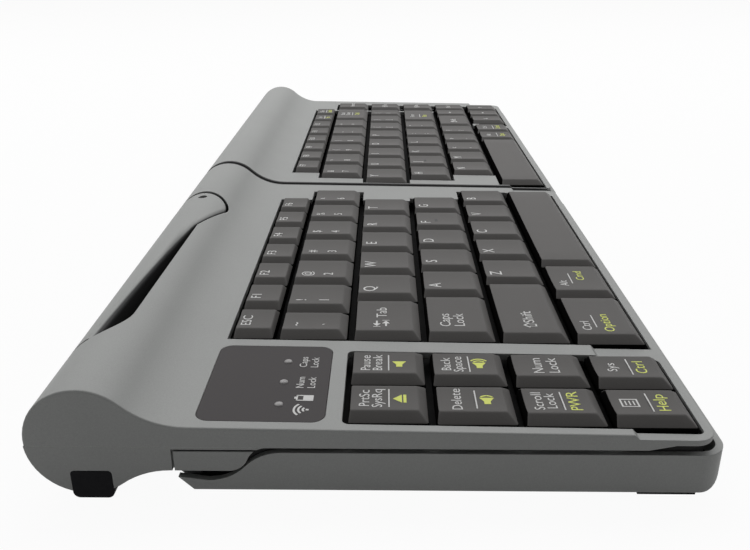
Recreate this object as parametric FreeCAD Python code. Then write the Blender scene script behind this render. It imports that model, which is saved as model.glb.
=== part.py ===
import FreeCAD
import Part
import math
import os

# A split keyboard: two equal halves joined by a two-axis knuckle inside a round rear tube.
# X runs along the keyboard, left to right, Y from the typist to the rear, Z up.
# The origin is the middle of the outline, on the table. All lengths are in millimetres.

V = FreeCAD.Vector

# Overall sizes
split_gap = 2.2
front_edge_y = -71.9
case_wall = 1.8
seam_z = 13.0
corner_radius = 5.0
edge_round = 0.5
overcut = 1.0

# Rear tube and the two hollow curves that run into the deck and the floor
tube_y = 62.0
tube_z = 13.95
tube_radius = 12.7
deck_curve = 20.0
floor_curve = 17.5

# Deck, its slope towards the typist, and the lowered front strip
deck_z = 17.85
deck_slope = 0.013
step_y = -54.0
step_drop = 1.0
floor_z = 7.2
nail_recess_front = 3.2
nail_recess_length = 11.5
nail_recess_height = 1.2
nail_recess_depth = 6.0

# Shoulder of the lower case and the lid notch that runs round it
shoulder_rear = 31.5
shoulder_front = 23.2
notch_rear_gap = 4.5
notch_front_gap = 3.2
end_wall = 1.8
belly_setback = 1.2
panel_rear = 43.0
panel_top_z = 12.0
groove_width = 0.5
groove_depth = 1.0

# Bottom lids
lid_front_y = -74.7
lid_bottom_z = 2.4
lid_wall = 1.6
lid_floor = 1.5
lid_rim_z = 11.8
lid_notch_z = 4.7
lid_notch_rise = 0.14
lid_gap = 0.4
lid_end_gap = 1.5
lid_front_round = 5.0
lid_corner = 5.8
lid_hinge_y = 40.2
lid_barrel = 2.2
lid_barrel_inset = 2.4
lid_end_chamfer = 3.2
lid_chamfer_length = 8.0
lid_pin = 0.9
lug_width = 8.0
lug_from_end = 30.0
lug_relief = 0.3
lug_stem_relief = 0.6
hinge_side_gap = 0.4

# Fits
running_gap = 0.05
body_gap = 0.4
seat_gap = 0.15

# Rubber feet
foot_width = 9.0
foot_y = 61.1
foot_corner = 1.0
foot_round = 1.5
foot_wrap = 5.0
foot_length = 14.0
foot_seat_z = 2.0
foot_end_height = 7.0
foot_end_depth = 1.5
inner_foot_inset = 16.0
lid_foot_depth = 12.6
lid_foot_rear_y = -57.0
lid_foot_inset = 2.5

# Keys
pitch = 19.05
half_pitch_gap = 0.4
row_gap = 1.0
function_depth = 11.9
number_rear_y = 26.0
well_margin = 0.4
end_well_corner = 1.6
key_rise = 1.65
key_slope_height = 2.0
key_side_slope = 2.55
key_front_slope = 2.5
function_front_slope = 0.8
key_rear_slope = 1.0
key_wall = 1.1
key_travel = 2.0
key_stop_gap = 0.3
stem_size = 4.6
stem_engagement = 0.5
narrow_key = 0.843
function_key = 0.89

# Plates and sheets under the keys
plate_thickness = 1.0
plate_margin = 4.4
plate_rear_margin = 1.0
membrane_thickness = 0.5
membrane_rear_margin = 3.0

# Screws
screw_shank = 1.1
screw_head = 2.1
screw_head_height = 1.2
screw_head_depth = 0.2
screw_grip = 3.0
post_radius = 3.2
boss_radius = 2.5
rear_screw_from_end = 20.0
rear_screw_from_split = 22.5
bar_screw_from_block = 3.1
bar_screw_y = (-9.0, -49.0)
left_split_screw = (9.5, -12.0)
edge_screw_from_end = 6.5
edge_screw_y = (6.0, -49.0)
right_split_screw = (8.0, -40.5)

# Indicator plate
label_from_end = 3.0
label_to_keys = 4.0
label_front_y = 11.1
label_depth = 27.7
label_corner = 3.0
label_thickness = 0.8
lens_radius = 1.0
lens_from_end = 9.9
lens_spacing = 9.75
lens_y = 21.5
lens_height = 3.2

# Lock lever: a round pivot end and a long tongue that follows the tube
lever_pivot_from_split = 53.8
lever_pivot_y = 66.2
lever_end_radius = 11.9
lever_floor_z = 15.0
lever_side_gap = 1.0
lever_bed_gap = 0.4
lever_neck_from_pivot = 23.7
lever_neck_y = 59.9
lever_tip_from_end = 25.0
lever_front_y = 61.4
lever_tip_round = 13.5
tongue_middle_from_pivot = 58.2
tongue_middle_y = 63.2
tongue_tip_y = 66.6
tongue_edge_round = 1.5
recess_wall = 1.5
lever_shaft = 3.5
lever_shaft_foot_z = 8.6
lever_peg = 1.2
lever_peg_offset = 2.0
lever_peg_height = 2.2
ring_width = 1.5
ring_thickness = 0.6
dimple_radius = 1.6
dimple_depth = 0.7
dimple_ahead = 5.7
dimple_y = 63.2

# Brake rod, drawn by the lever's peg
rod_width = 3.2
rod_height = 1.4
rod_slot_play = 0.3
rod_slot_rear = 0.8
rod_slot_wall = 1.6
rod_tip_gap = 0.4

# Knuckle joint at the split
splay_y = 69.0
splay_barrel = 2.2
splay_pin = 1.2
splay_barrel_low = 10.6
splay_barrel_high = 17.3
tent_z = 7.0
tent_barrel = 2.2
tent_pin = 1.0
tent_barrel_front = 58.5
tent_barrel_rear = 64.0
lug_thickness = 1.7
lug_gap = 0.2
link_web = 2.6
bulkhead_from_split = 22.0
bulkhead_thickness = 4.0
splay_relief_deg = 17.0
tent_relief_deg = 11.0

# Boards and batteries
board_thickness = 1.6
board_width = 16.0
board_z = 8.0
board_from_end = 18.0
board_length = 78.0
rib_thickness = 3.0
rib_from_board_end = 6.0
cell_radius = 5.25
cell_length = 44.5
cell_z = 9.0
cells_from_split = 29.6
board_to_cells = 4.0
contact_thickness = 0.8
contact_gap = 0.1
contact_height = 9.0
contact_width = 8.0
contact_block_wall = 0.9
contact_block_rise = 2.0
saddle_thickness = 3.0
saddle_drop = 2.0
door_width = 13.0
door_margin = 2.0
door_gap = 0.2
door_ledge_height = 1.6

# Key layout: widths and starts of rows are in pitches
end_block_from_end = 2.9
end_block_bar = 6.23
main_block_margin = 7.87
main_block_from_end = end_block_from_end + 2 * narrow_key * pitch + end_block_bar
row_rear = {
    "function": number_rear_y + function_depth,
    "number": number_rear_y,
    "upper": number_rear_y - pitch,
    "home": number_rear_y - 2 * pitch,
    "lower": number_rear_y - 3 * pitch,
    "bottom": number_rear_y - 4 * pitch,
}
main_rows = ["number", "upper", "home", "lower", "bottom"]
end_block = ["keys_end_outer", "keys_end_inner"]
left_rows = {
    "function": [("key_escape", [0.9]), ("keys_function_left", [function_key] * 6)],
    "number": [("key_grave", [0.825]), ("keys_number_left", [1] * 6)],
    "upper": [("key_tab", [1.26]), ("keys_upper_left", [1] * 5)],
    "home": [("key_caps_lock", [1.44]), ("keys_home_left", [1] * 5)],
    "lower": [("key_shift_left", [1.97]), ("keys_lower_left", [1] * 5)],
    "bottom": [("key_control_left", [1.49]), ("key_alt_left", [1.26]), ("key_space_left", [4.2])],
}
# Start of each right-hand row, from the split plane; a width of None fills the row to its end
right_row_start = {
    "function": 0.89,
    "number": 0.47,
    "upper": 0.15,
    "home": 0.425,
    "lower": 0.895,
    "bottom": 0.155,
}
right_block_end = 8 * pitch
right_rows = {
    "function": [("keys_function_right", [function_key] * 8)],
    "number": [("keys_number_right", [1] * 6), ("key_backspace", [None])],
    "upper": [("keys_upper_right", [1] * 7 + [None])],
    "home": [("keys_home_right", [1] * 6), ("key_enter", [None])],
    "lower": [("keys_lower_right", [1] * 5)],
    "bottom": [("key_space_right", [4.12]), ("keys_modifier_right", [0.945] * 2)],
}
far_column_bar = 2.85
far_column_start = right_block_end + far_column_bar

# The longest row of the left half sets the length of both halves
left_row_widths = [sum(sum(widths) for _, widths in groups) for groups in left_rows.values()]
half_length = main_block_from_end + max(left_row_widths) * pitch + main_block_margin


class Half:
    """One half of the keyboard: side is -1 for the left half and +1 for the right."""

    def __init__(self, side):
        self.side = side
        self.inner = side * split_gap / 2
        self.outer = side * (split_gap / 2 + half_length)

    def from_end(self, distance):
        """X at a distance from the half's outer end."""
        return self.outer - self.side * distance

    def span(self, outer_gap, inner_gap):
        """X range of the half with its two ends set in."""
        return (self.outer - self.side * outer_gap, self.inner + self.side * inner_gap)


left = Half(-1)
right = Half(1)
halves = {"left": left, "right": right}


def box(x, y, z):
    """A box between two X, two Y and two Z values, in any order."""
    low = V(min(x), min(y), min(z))
    return Part.makeBox(abs(x[1] - x[0]), abs(y[1] - y[0]), abs(z[1] - z[0]), low)


def rod(radius, start, end):
    """A round bar between two points."""
    run = V(*end) - V(*start)
    return Part.makeCylinder(radius, run.Length, V(*start), run)


def fused(shapes):
    """One solid from several that touch or overlap."""
    shapes = list(shapes)
    return shapes[0].fuse(shapes[1:]).removeSplitter() if len(shapes) > 1 else shapes[0]


def extruded(wire, x):
    """A closed wire in the YZ plane swept between two X values."""
    face = Part.Face(wire)
    face.translate(V(min(x), 0, 0))
    return face.extrude(V(abs(x[1] - x[0]), 0, 0))


def upright(points, low, high):
    """A polygon in plan, given as (x, y), standing between two heights."""
    loop = [V(x, y, low) for x, y in points]
    return Part.Face(Part.makePolygon(loop + loop[:1])).extrude(V(0, 0, high - low))


def yz(y, z):
    return V(0, y, z)


def deck_height(y):
    """Height of the deck plane at a given Y, in front of the tube."""
    return deck_z + deck_slope * (y - tube_y + tube_radius + deck_curve / 2)


def tangent_curve(radius, curve, slope, height, side):
    """Centre and ends of the hollow arc that meets the tube and a line of the given slope.

    The centre lies one curve radius off the line, above it for side 1 and below it for side -1, and
    the tube radius plus the curve radius from the tube's centre."""
    tube = yz(tube_y, tube_z)
    along = yz(1, slope).normalize()
    across = yz(-slope, 1).normalize() * side
    start = yz(tube_y, height) + across * curve - tube
    reach = radius + curve
    lead = start.dot(along)
    centre = tube + start + along * (-lead - math.sqrt(lead ** 2 - start.dot(start) + reach ** 2))
    on_tube = tube + (centre - tube) * (radius / reach)
    on_line = centre - across * curve
    middle = centre + ((on_tube - centre) + (on_line - centre)).normalize() * curve
    return on_line, middle, on_tube


def half_profile(inset):
    """Closed outline of a half in the YZ plane, set in by a wall thickness."""
    radius = tube_radius - inset
    top = tangent_curve(radius, deck_curve + inset, deck_slope, deck_height(tube_y) - inset, 1)
    low = tangent_curve(radius, floor_curve + inset, 0.0, floor_z + inset, -1)
    front = front_edge_y + inset
    step = step_y + inset
    strip = step_drop + inset
    corners = [
        low[0],
        yz(front, floor_z + inset),
        yz(front, deck_height(front) - strip),
        yz(step - step_drop, deck_height(step - step_drop) - strip),
        yz(step, deck_height(step) - inset),
        top[0],
    ]
    edges = [Part.makeLine(a, b) for a, b in zip(corners, corners[1:])]
    edges.append(Part.Arc(*top).toShape())
    edges.append(Part.Arc(top[2], yz(tube_y + radius, tube_z), low[2]).toShape())
    edges.append(Part.Arc(low[2], low[1], low[0]).toShape())
    return Part.Wire(edges)


def s_curve_wall(rear, front, low, high, tail):
    """Outline, open to the rear, whose front end rises in two equal arcs from low to high.

    It reaches well past the high end; the tail's points lead from far behind to the low end."""
    middle = yz((rear + front) / 2, (low + high) / 2)
    radius = ((rear - front) ** 2 + (high - low) ** 2) / (4 * (high - low))
    bend = math.asin((rear - front) / 2 / radius) / 2
    dip = yz(rear - radius * math.sin(bend), low + radius * (1 - math.cos(bend)))
    crest = yz(front + radius * math.sin(bend), high - radius * (1 - math.cos(bend)))
    past = 2 * tube_y
    corners = [yz(front, high), yz(front, past), yz(past, past)] + tail + [yz(rear, low)]
    edges = [
        Part.Arc(yz(rear, low), dip, middle).toShape(),
        Part.Arc(middle, crest, yz(front, high)).toShape(),
    ]
    edges += [Part.makeLine(a, b) for a, b in zip(corners, corners[1:])]
    return Part.Wire(edges)


def rounded_plan(x, front, radius, low, high):
    """Upright prism over the X range, with its two front corners rounded."""
    prism = box(x, (front, tube_y * 2), (low, high))
    corners = [edge for edge in prism.Edges if is_front_corner(edge, front)]
    return prism.makeFillet(radius, corners)


def is_front_corner(edge, front):
    ends = [vertex.Point for vertex in edge.Vertexes]
    return all(abs(end.y - front) < 1e-6 for end in ends) and abs(ends[0].z - ends[1].z) > 1


def knuckle_relief(half):
    """Wedges cut from the inner end so that it clears the other half when it splays and tents."""
    reach = 4 * tube_radius
    swing = reach * math.tan(math.radians(splay_relief_deg))
    drop = reach * math.tan(math.radians(tent_relief_deg))
    x = half.inner
    out = half.side
    rear = upright(
        [(x, splay_y), (x + out * swing, splay_y + reach), (x - out, splay_y + reach), (x - out, splay_y)],
        -reach, 2 * reach)
    side = [V(x, -3 * reach, tent_z), V(x + out * drop, -3 * reach, tent_z - reach)]
    side += [V(x - out, -3 * reach, tent_z - reach), V(x - out, -3 * reach, tent_z)]
    under = Part.Face(Part.makePolygon(side + side[:1])).extrude(V(0, 6 * reach, 0))
    return [rear, under]


# Key cells and screw places

def key_cells():
    """Every key cell as node name to a list of (x low, x high, row name)."""
    cells = {}
    start = left.from_end(main_block_from_end)
    for row, groups in left_rows.items():
        place_row(cells, row, start, groups, None)
    for row, groups in right_rows.items():
        place_row(cells, row, right_row_start[row] * pitch, groups, right_block_end)
    width = narrow_key * pitch
    for column, name in enumerate(end_block):
        low = left.from_end(end_block_from_end) + column * width
        cells[name] = [(low, low + width, row) for row in main_rows[1:]]
    far = far_column_start
    cells["keys_far_column"] = [(far, far + width, row) for row in main_rows[:4]]
    shift_low = max(high for low, high, row in cells["keys_lower_right"])
    cells["key_shift_right"] = [(shift_low, far - width, "lower")]
    cells["keys_arrow"] = [
        (far - 2 * width, far - width, "bottom"),
        (far - width, far, "bottom"),
        (far, far + width, "bottom"),
        (far - width, far, "lower"),
    ]
    return cells


def place_row(cells, row, start, groups, end):
    """Lay the groups of a row side by side; a width of None fills the row up to its end."""
    low = start
    for name, widths in groups:
        for width in widths:
            high = end if width is None else low + width * pitch
            cells.setdefault(name, []).append((low, high, row))
            low = high


def row_span(row):
    """Front and rear Y of a row of cells."""
    depth = function_depth if row == "function" else pitch
    return (row_rear[row] - depth, row_rear[row])


def screw_places(half):
    """(x, y, height of the joint between post and boss) of each case screw."""
    rear_y = row_rear["function"] + plate_margin
    last = half_length - rear_screw_from_split
    places = [rear_screw_from_end, (rear_screw_from_end + last) / 2, last]
    rear = [(half.from_end(place), rear_y, seam_z) for place in places]
    if half is left:
        line = half.from_end(main_block_from_end - bar_screw_from_block)
        line_y = bar_screw_y
        from_split, split_y = left_split_screw
    else:
        line = half.from_end(edge_screw_from_end)
        line_y = edge_screw_y
        from_split, split_y = right_split_screw
    inside = [(line, y) for y in line_y]
    inside.append((half.inner + half.side * from_split, split_y))
    return rear + [(x, y, plate_top()) for x, y in inside]


def membrane_top():
    return floor_z + case_wall + membrane_thickness


def plate_top():
    """Top of the key plate: a pressed stem stops just over the membrane."""
    return membrane_top() + key_stop_gap + key_travel + stem_engagement


def skirt_z():
    """Lower edge of a keycap that isn't pressed."""
    return plate_top() + key_travel + key_stop_gap


# Top cases

def top_shell(half):
    """Tube top and deck as a closed shell, open below."""
    full = half.span(0, 0)
    room = half.span(end_wall, end_wall)
    plan = rounded_plan(full, front_edge_y, corner_radius, seam_z, 3 * seam_z)
    room_plan = rounded_plan(room, front_edge_y + case_wall, corner_radius - case_wall, 0, 3 * seam_z)
    outside = extruded(half_profile(0), full).common(plan)
    inside = extruded(half_profile(case_wall), room).common(room_plan)
    return rounded_rim(outside).cut(inside)


def rounded_rim(solid):
    """The solid with a small round along the edge between its deck and its outline."""
    rim = [edge for edge in solid.Edges if is_rim(edge, solid)]
    return solid.makeFillet(edge_round, rim)


def is_rim(edge, solid):
    """True for the edges round the top, apart from those along the length and at the seam."""
    box_of = edge.BoundBox
    if box_of.ZMin < seam_z + 1e-6 and box_of.ZMax < seam_z + 1e-6:
        return False
    whole = solid.BoundBox
    end_distance = min(abs(box_of.XMin - whole.XMin), abs(box_of.XMin - whole.XMax))
    at_end = box_of.XLength < 1e-6 and end_distance < 1e-6
    upright_edge = box_of.XLength < 1e-6 and box_of.YLength < 1e-6
    return at_end and not upright_edge and box_of.YMin > step_y + overcut


def well_tools(cells, side):
    """Blocks that open the case over every key cell of one half, down to the key plate."""
    tools = [end_block_well(cells)] if side < 0 else []
    for name, spans in cells.items():
        for low, high, row in spans:
            if (low < 0) == (side < 0) and name not in end_block:
                tools.append(well((low, high), row_span(row)))
    return tools


def well(x, y):
    """Upright room over a range of cells, a margin wider than them."""
    wide = (x[0] - well_margin, x[1] + well_margin)
    deep = (y[0] - well_margin, y[1] + well_margin)
    return box(wide, deep, (plate_top(), 3 * seam_z))


def end_block_well(cells):
    """One room with round corners for the two columns at the left end."""
    spans = [span for name in end_block for span in cells[name]]
    x = (min(span[0] for span in spans), max(span[1] for span in spans))
    room = well(x, (row_span(main_rows[-1])[0], row_span(main_rows[1])[1]))
    return room.makeFillet(end_well_corner, upright_edges(room))


def upright_edges(solid):
    return [edge for edge in solid.Edges if edge.BoundBox.XLength + edge.BoundBox.YLength < 1e-6]


def top_bosses(half):
    """Screw bosses that hang from the deck."""
    inside = extruded(half_profile(case_wall / 2), half.span(end_wall / 2, end_wall / 2))
    bosses = []
    holes = []
    for x, y, z in screw_places(half):
        bosses.append(rod(boss_radius, (x, y, z), (x, y, 2 * seam_z)).common(inside))
        holes.append(rod(screw_shank + running_gap, (x, y, z), (x, y, z + screw_grip)))
    return bosses, holes


def tube_mouth(half):
    """Round opening of the tube at the split, where the knuckle passes."""
    return tube_bar(tube_radius - case_wall, half.span(half_length - 3 * end_wall, -overcut))


def nail_recess(half):
    """Hollow under the front corner of the top case, where a fingernail takes the lid."""
    x = half.from_end(0)
    y = front_edge_y + nail_recess_front
    ramp = [yz(y + nail_recess_length, seam_z), yz(y + nail_recess_length / 2, seam_z + nail_recess_height)]
    ahead = front_edge_y - overcut
    ramp += [yz(ahead, seam_z + nail_recess_height), yz(ahead, seam_z)]
    wire = Part.makePolygon(ramp + ramp[:1])
    return extruded(wire, (x + half.side * overcut, x - half.side * nail_recess_depth))


def top_case(half, cells):
    shell = top_shell(half)
    bosses, holes = top_bosses(half)
    shell = fused([shell] + bosses)
    cuts = well_tools(cells, half.side) + holes + knuckle_relief(half) + [tube_mouth(half), nail_recess(half)]
    if half is left:
        shell = fused([shell, lever_housing()])
        cuts += [lever_recess(), label_pocket(), lever_shaft_hole()] + lens_bars(running_gap)
    return cut_all(shell, cuts)


def cut_all(shape, tools):
    """The shape with every tool taken out of it."""
    return shape.cut(tools).removeSplitter()


# Lower cases

def bottom_outside(half):
    """Tube bottom and shoulder at full length, with the belly set in for the lid."""
    low = extruded(half_profile(0), half.span(0, 0))
    past = half.span(-overcut, -overcut)
    low = low.common(box(past, (-tube_y * 2, tube_y * 2), (-seam_z, seam_z)))
    rear = low.common(extruded(shoulder_outline(), past))
    inset = lid_wall + lid_gap
    belly_x = half.span(inset, inset + lid_end_gap)
    belly = rounded_plan(belly_x, belly_front(), lid_corner - inset, floor_z, seam_z)
    belly = belly.common(box(belly_x, (-2 * tube_y, shoulder_rear), (0, 2 * seam_z)))
    return fused([rear, belly])


def belly_front():
    """Front of the lower case, set back under the edge of the top case."""
    return front_edge_y + belly_setback


def shoulder_outline():
    """Everything behind the shoulder's curved front end, down past the tube."""
    low = floor_z - 2 * tube_radius
    tail = [yz(2 * tube_y, low), yz(shoulder_rear, low)]
    return s_curve_wall(shoulder_rear, shoulder_front, floor_z, seam_z, tail)


def bottom_inside(half):
    """Room inside the lower case."""
    wall = lid_wall + lid_gap + lid_wall
    room = extruded(half_profile(case_wall), half.span(wall, wall + lid_end_gap))
    y = (belly_front() + lid_wall, tube_y * 2)
    return room.common(box(half.span(0, 0), y, (-seam_z, seam_z + overcut)))


def panel_groove(half):
    """Narrow groove in the end wall that marks out the panel over the lid's hinge."""
    x = (half.outer + half.side * overcut, half.outer - half.side * groove_depth)
    rear = panel_rear + groove_width
    top = panel_top_z + groove_width
    panel = box(x, (shoulder_front - overcut, panel_rear), (0, panel_top_z))
    return box(x, (shoulder_front - overcut, rear), (floor_z - overcut, top)).cut(panel)


def screw_posts(half):
    """Posts that carry the key plate and take the screws, and the holes through them."""
    posts = []
    holes = []
    under = plate_thickness
    for x, y, joint in screw_places(half):
        top = joint if joint == seam_z else joint - under
        posts.append(rod(post_radius, (x, y, floor_z), (x, y, top)))
        holes.append(rod(screw_shank + seat_gap, (x, y, floor_z - tube_radius), (x, y, top)))
        head_top = floor_z + screw_head_depth + screw_head_height
        holes.append(rod(screw_head + seat_gap, (x, y, floor_z - tube_radius), (x, y, head_top)))
    return posts, holes


def hinge_lugs(half):
    """Lugs under the floor that carry the lid's hinge pins, and their pin holes."""
    lugs = []
    holes = []
    for centre in lug_centres(half):
        x = (centre - lug_width / 2, centre + lug_width / 2)
        reach = lid_barrel - lug_stem_relief
        y = (lid_hinge_y - reach, lid_hinge_y + reach)
        lugs.append(hinge_rod(lid_barrel - lug_relief, centre, lug_width / 2))
        lugs.append(box(x, y, (hinge_z(), floor_z + case_wall / 2)))
        holes.append(hinge_rod(lid_pin, centre, lug_width / 2 + overcut))
    return lugs, holes


def hinge_rod(radius, centre, reach):
    """Round bar on the lid's hinge line, reaching as far to each side of its centre."""
    return rod(radius, (centre - reach, lid_hinge_y, hinge_z()), (centre + reach, lid_hinge_y, hinge_z()))


def hinge_z():
    return lid_bottom_z + lid_barrel


def lug_centres(half):
    return [half.from_end(lug_from_end), half.from_end(half_length - lug_from_end)]


def board_ribs(half, start, length):
    """Cross ribs in the tube that a board lies on."""
    places = (start + rib_from_board_end, start + length - rib_from_board_end)
    return [tube_rib(half, half.from_end(place), rib_thickness, board_z) for place in places]


def tube_rib(half, centre, thickness, top):
    """Cross rib in the tube floor, as wide as a board."""
    x = (centre - thickness / 2, centre + thickness / 2)
    return box(x, (tube_y - board_width / 2, tube_y + board_width / 2), (0, top)).common(tube_core(half))


def tube_core(half):
    """Solid of the tube's inside, reaching half a wall into the shell."""
    x = half.span(end_wall, end_wall)
    return rod(tube_radius - case_wall / 2, (x[0], tube_y, tube_z), (x[1], tube_y, tube_z))


def saddles():
    """Cradle ribs for the cells in the right tube."""
    ribs = []
    for index in range(2):
        middle = right.from_end(cell_start(index) + cell_length / 2)
        block = tube_rib(right, middle, saddle_thickness, cell_z - saddle_drop)
        ribs.append(block.cut(cell_bar(seat_gap)))
    return ribs


def cell_bar(gap):
    """One long bar through both cells."""
    x = (right.from_end(cell_start(0) - overcut), right.from_end(cell_start(2) + overcut))
    return rod(cell_radius + gap, (x[0], tube_y, cell_z), (x[1], tube_y, cell_z))


def bottom_case(half, cells):
    shell = bottom_outside(half).cut(bottom_inside(half))
    posts, holes = screw_posts(half)
    lugs, pin_holes = hinge_lugs(half)
    if half is left:
        ribs = board_ribs(half, board_from_end, board_length)
    else:
        ribs = saddles() + board_ribs(half, board_from_end, right_board_length())
        ribs += [contact_slot_block(x) for x in contact_places()]
    shell = fused([shell] + posts + lugs + ribs)
    cuts = holes + pin_holes + knuckle_relief(half) + [tube_mouth(half), panel_groove(half)]
    cuts += tube_foot_parts(half)
    cuts += well_tools(cells, half.side)
    if half is right:
        cuts += [door_tool(door_gap)] + [contact_plate(x, contact_gap) for x in contact_places()]
    return cut_all(shell, cuts)


# Bottom lids

def lid_profile(inset, top):
    """Side outline of the lid tray: round at the rear hinge and at the front."""
    rear = lid_hinge_y
    low = lid_bottom_z + inset
    front = lid_front_y + inset
    bend = lid_front_round - inset
    corners = [yz(rear, top), yz(front, top), yz(front, low + bend)]
    edges = [Part.makeLine(a, b) for a, b in zip(corners, corners[1:])]
    slant = bend * (1 - math.sqrt(0.5))
    bend_end = yz(front + bend, low)
    edges.append(Part.Arc(yz(front, low + bend), yz(front + slant, low + slant), bend_end).toShape())
    edges.append(Part.makeLine(bend_end, yz(rear, low)))
    edges.append(Part.makeLine(yz(rear, low), yz(rear, top)))
    return Part.Wire(edges)


def lid_notch(half):
    """Room over the notched rim, where the shoulder of the case comes down."""
    rear = shoulder_rear + notch_rear_gap
    front = shoulder_front - notch_front_gap
    past = 2 * tube_y
    tail = [yz(past, lid_notch_z + lid_notch_rise * (past - rear))]
    wire = s_curve_wall(rear, front, lid_notch_z, lid_rim_z, tail)
    return extruded(wire, half.span(-overcut, -overcut))


def lid(half):
    x = half.span(0, lid_end_gap)
    outside = fused([extruded(lid_profile(0, lid_rim_z), x)] + lid_tails(x))
    plan = rounded_plan(x, lid_front_y, lid_corner, -seam_z, 2 * seam_z)
    room_x = half.span(lid_wall, lid_end_gap + lid_wall)
    room_plan = rounded_plan(
        room_x, lid_front_y + lid_wall, lid_corner - lid_wall, lid_bottom_z + lid_floor, 2 * seam_z)
    room = extruded(lid_profile(lid_wall, 2 * seam_z), room_x).common(room_plan)
    tray = outside.common(plan).cut([room, lid_notch(half)])
    barrel = hinge_rod(lid_barrel, (x[0] + x[1]) / 2, abs(x[1] - x[0]) / 2 - lid_barrel_inset)
    tray = fused([tray, barrel])
    cuts = [lid_chamfer(part) for part in end_slices(x, lid_chamfer_length)]
    for centre in lug_centres(half):
        slot_reach = lug_width / 2 + hinge_side_gap
        reach = lid_barrel + body_gap
        y = (lid_hinge_y - reach, lid_hinge_y + reach)
        cuts.append(box((centre - slot_reach, centre + slot_reach), y, (0, seam_z)))
        cuts.append(hinge_rod(lid_pin + running_gap, centre, pin_reach() + hinge_side_gap))
    return cut_all(tray, cuts)


def end_slices(x, depth):
    """X ranges of a stated depth at the two ends of a range."""
    step = math.copysign(depth, x[1] - x[0])
    return [(x[0], x[0] + step), (x[1], x[1] - step)]


def lid_rear():
    return lid_hinge_y + lid_barrel


def lid_tails(x):
    """Rear ends of the lid's two end walls, which hide the hinge barrel."""
    y = (lid_hinge_y, lid_rear())
    return [box(part, y, (lid_bottom_z, lid_rim_z)) for part in end_slices(x, lid_wall)]


def lid_chamfer(x):
    """Wedge that slopes the lower rear edge of the lid near its ends."""
    y = lid_rear() + overcut
    z = lid_bottom_z - overcut
    leg = lid_end_chamfer + 2 * overcut
    wedge = Part.makePolygon([yz(y - leg, z), yz(y, z), yz(y, z + leg), yz(y - leg, z)])
    return extruded(wedge, x)


def pin_reach():
    """How far a hinge pin reaches to each side of its lug's middle."""
    return lug_width


def lid_pins(half):
    return [hinge_rod(lid_pin, centre, pin_reach()) for centre in lug_centres(half)]


def lid_feet(half):
    y = (lid_foot_rear_y, lid_foot_rear_y - lid_foot_depth)
    outer = half.from_end(lid_foot_inset)
    inner = half.inner + half.side * (lid_end_gap + lid_foot_inset)
    pads = [(outer, outer - half.side * foot_length), (inner, inner + half.side * foot_length)]
    return [box(x, y, (0, lid_bottom_z)) for x in pads]


# Feet under the tube

def tube_foot_parts(half):
    """Outer foot, which wraps up the tube's end, and inner foot near the split."""
    y = (foot_y - foot_width / 2, foot_y + foot_width / 2)
    end = half.outer
    pad = foot_block((end, end - half.side * foot_wrap), y, foot_seat_z)
    tab = foot_block((end, end - half.side * foot_end_depth), y, foot_end_height)
    tab = tab.makeFillet(foot_corner, [edge for edge in tab.Edges if is_tab_corner(edge)])
    start = half.inner + half.side * inner_foot_inset
    inner = foot_block((start, start + half.side * foot_length), y, foot_seat_z)
    return [fused([pad, tab]), inner]


def foot_block(x, y, top):
    """Block on the table whose two lower edges along X are rounded."""
    block = box(x, y, (0, top))
    return block.makeFillet(foot_round, [edge for edge in block.Edges if is_foot_edge(edge)])


def is_foot_edge(edge):
    bounds = edge.BoundBox
    return bounds.ZMax < 1e-6 and bounds.YLength < 1e-6


def is_tab_corner(edge):
    """True for the two upper edges of a foot's tab that run through the wall."""
    bounds = edge.BoundBox
    return bounds.ZMin > foot_end_height - 1e-6 and bounds.YLength < 1e-6


# Keys

def keycap(low, high, row):
    """Hollow keycap with sloped sides and a guide stem under it."""
    front, rear = row_span(row)
    x = (low + half_pitch_gap, high - half_pitch_gap)
    y = (front + row_gap / 2, rear - row_gap / 2)
    top = deck_height((front + rear) / 2) + key_rise
    brim = top - key_slope_height
    slopes = (key_side_slope, front_slope(row), key_rear_slope)
    outside = tapered(x, y, (skirt_z(), brim, top), slopes)
    room_x = (x[0] + key_wall, x[1] - key_wall)
    room_y = (y[0] + key_wall, y[1] - key_wall)
    inside = tapered(room_x, room_y, (skirt_z() - overcut, brim, top - key_wall), slopes)
    middle = ((x[0] + x[1]) / 2, (y[0] + y[1]) / 2)
    foot = plate_top() - stem_engagement
    stem = stem_box(middle, 0, (foot, top - key_wall / 2))
    return outside.cut(inside).fuse(stem).removeSplitter()


def front_slope(row):
    """The short caps of the function row have a steep front."""
    return function_front_slope if row == "function" else key_front_slope


def stem_box(middle, gap, z):
    reach = stem_size / 2 + gap
    return box((middle[0] - reach, middle[0] + reach), (middle[1] - reach, middle[1] + reach), z)


def tapered(x, y, heights, slopes):
    """Block with upright sides up to the middle height and slopes from there to the top."""
    side, front, rear = slopes
    foot, brim, top = heights
    loops = [
        rectangle(x, y, foot),
        rectangle(x, y, brim),
        rectangle((x[0] + side, x[1] - side), (y[0] + front, y[1] - rear), top),
    ]
    return Part.makeLoft(loops, True, True)


def rectangle(x, y, z):
    loop = [V(x[0], y[0], z), V(x[1], y[0], z), V(x[1], y[1], z), V(x[0], y[1], z)]
    return Part.makePolygon(loop + loop[:1])


def key_middles(cells, side):
    """Centre of every key of one half."""
    middles = []
    for spans in cells.values():
        for low, high, row in spans:
            if (low < 0) == (side < 0):
                front, rear = row_span(row)
                middles.append(((low + high) / 2, (front + rear) / 2))
    return middles


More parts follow.
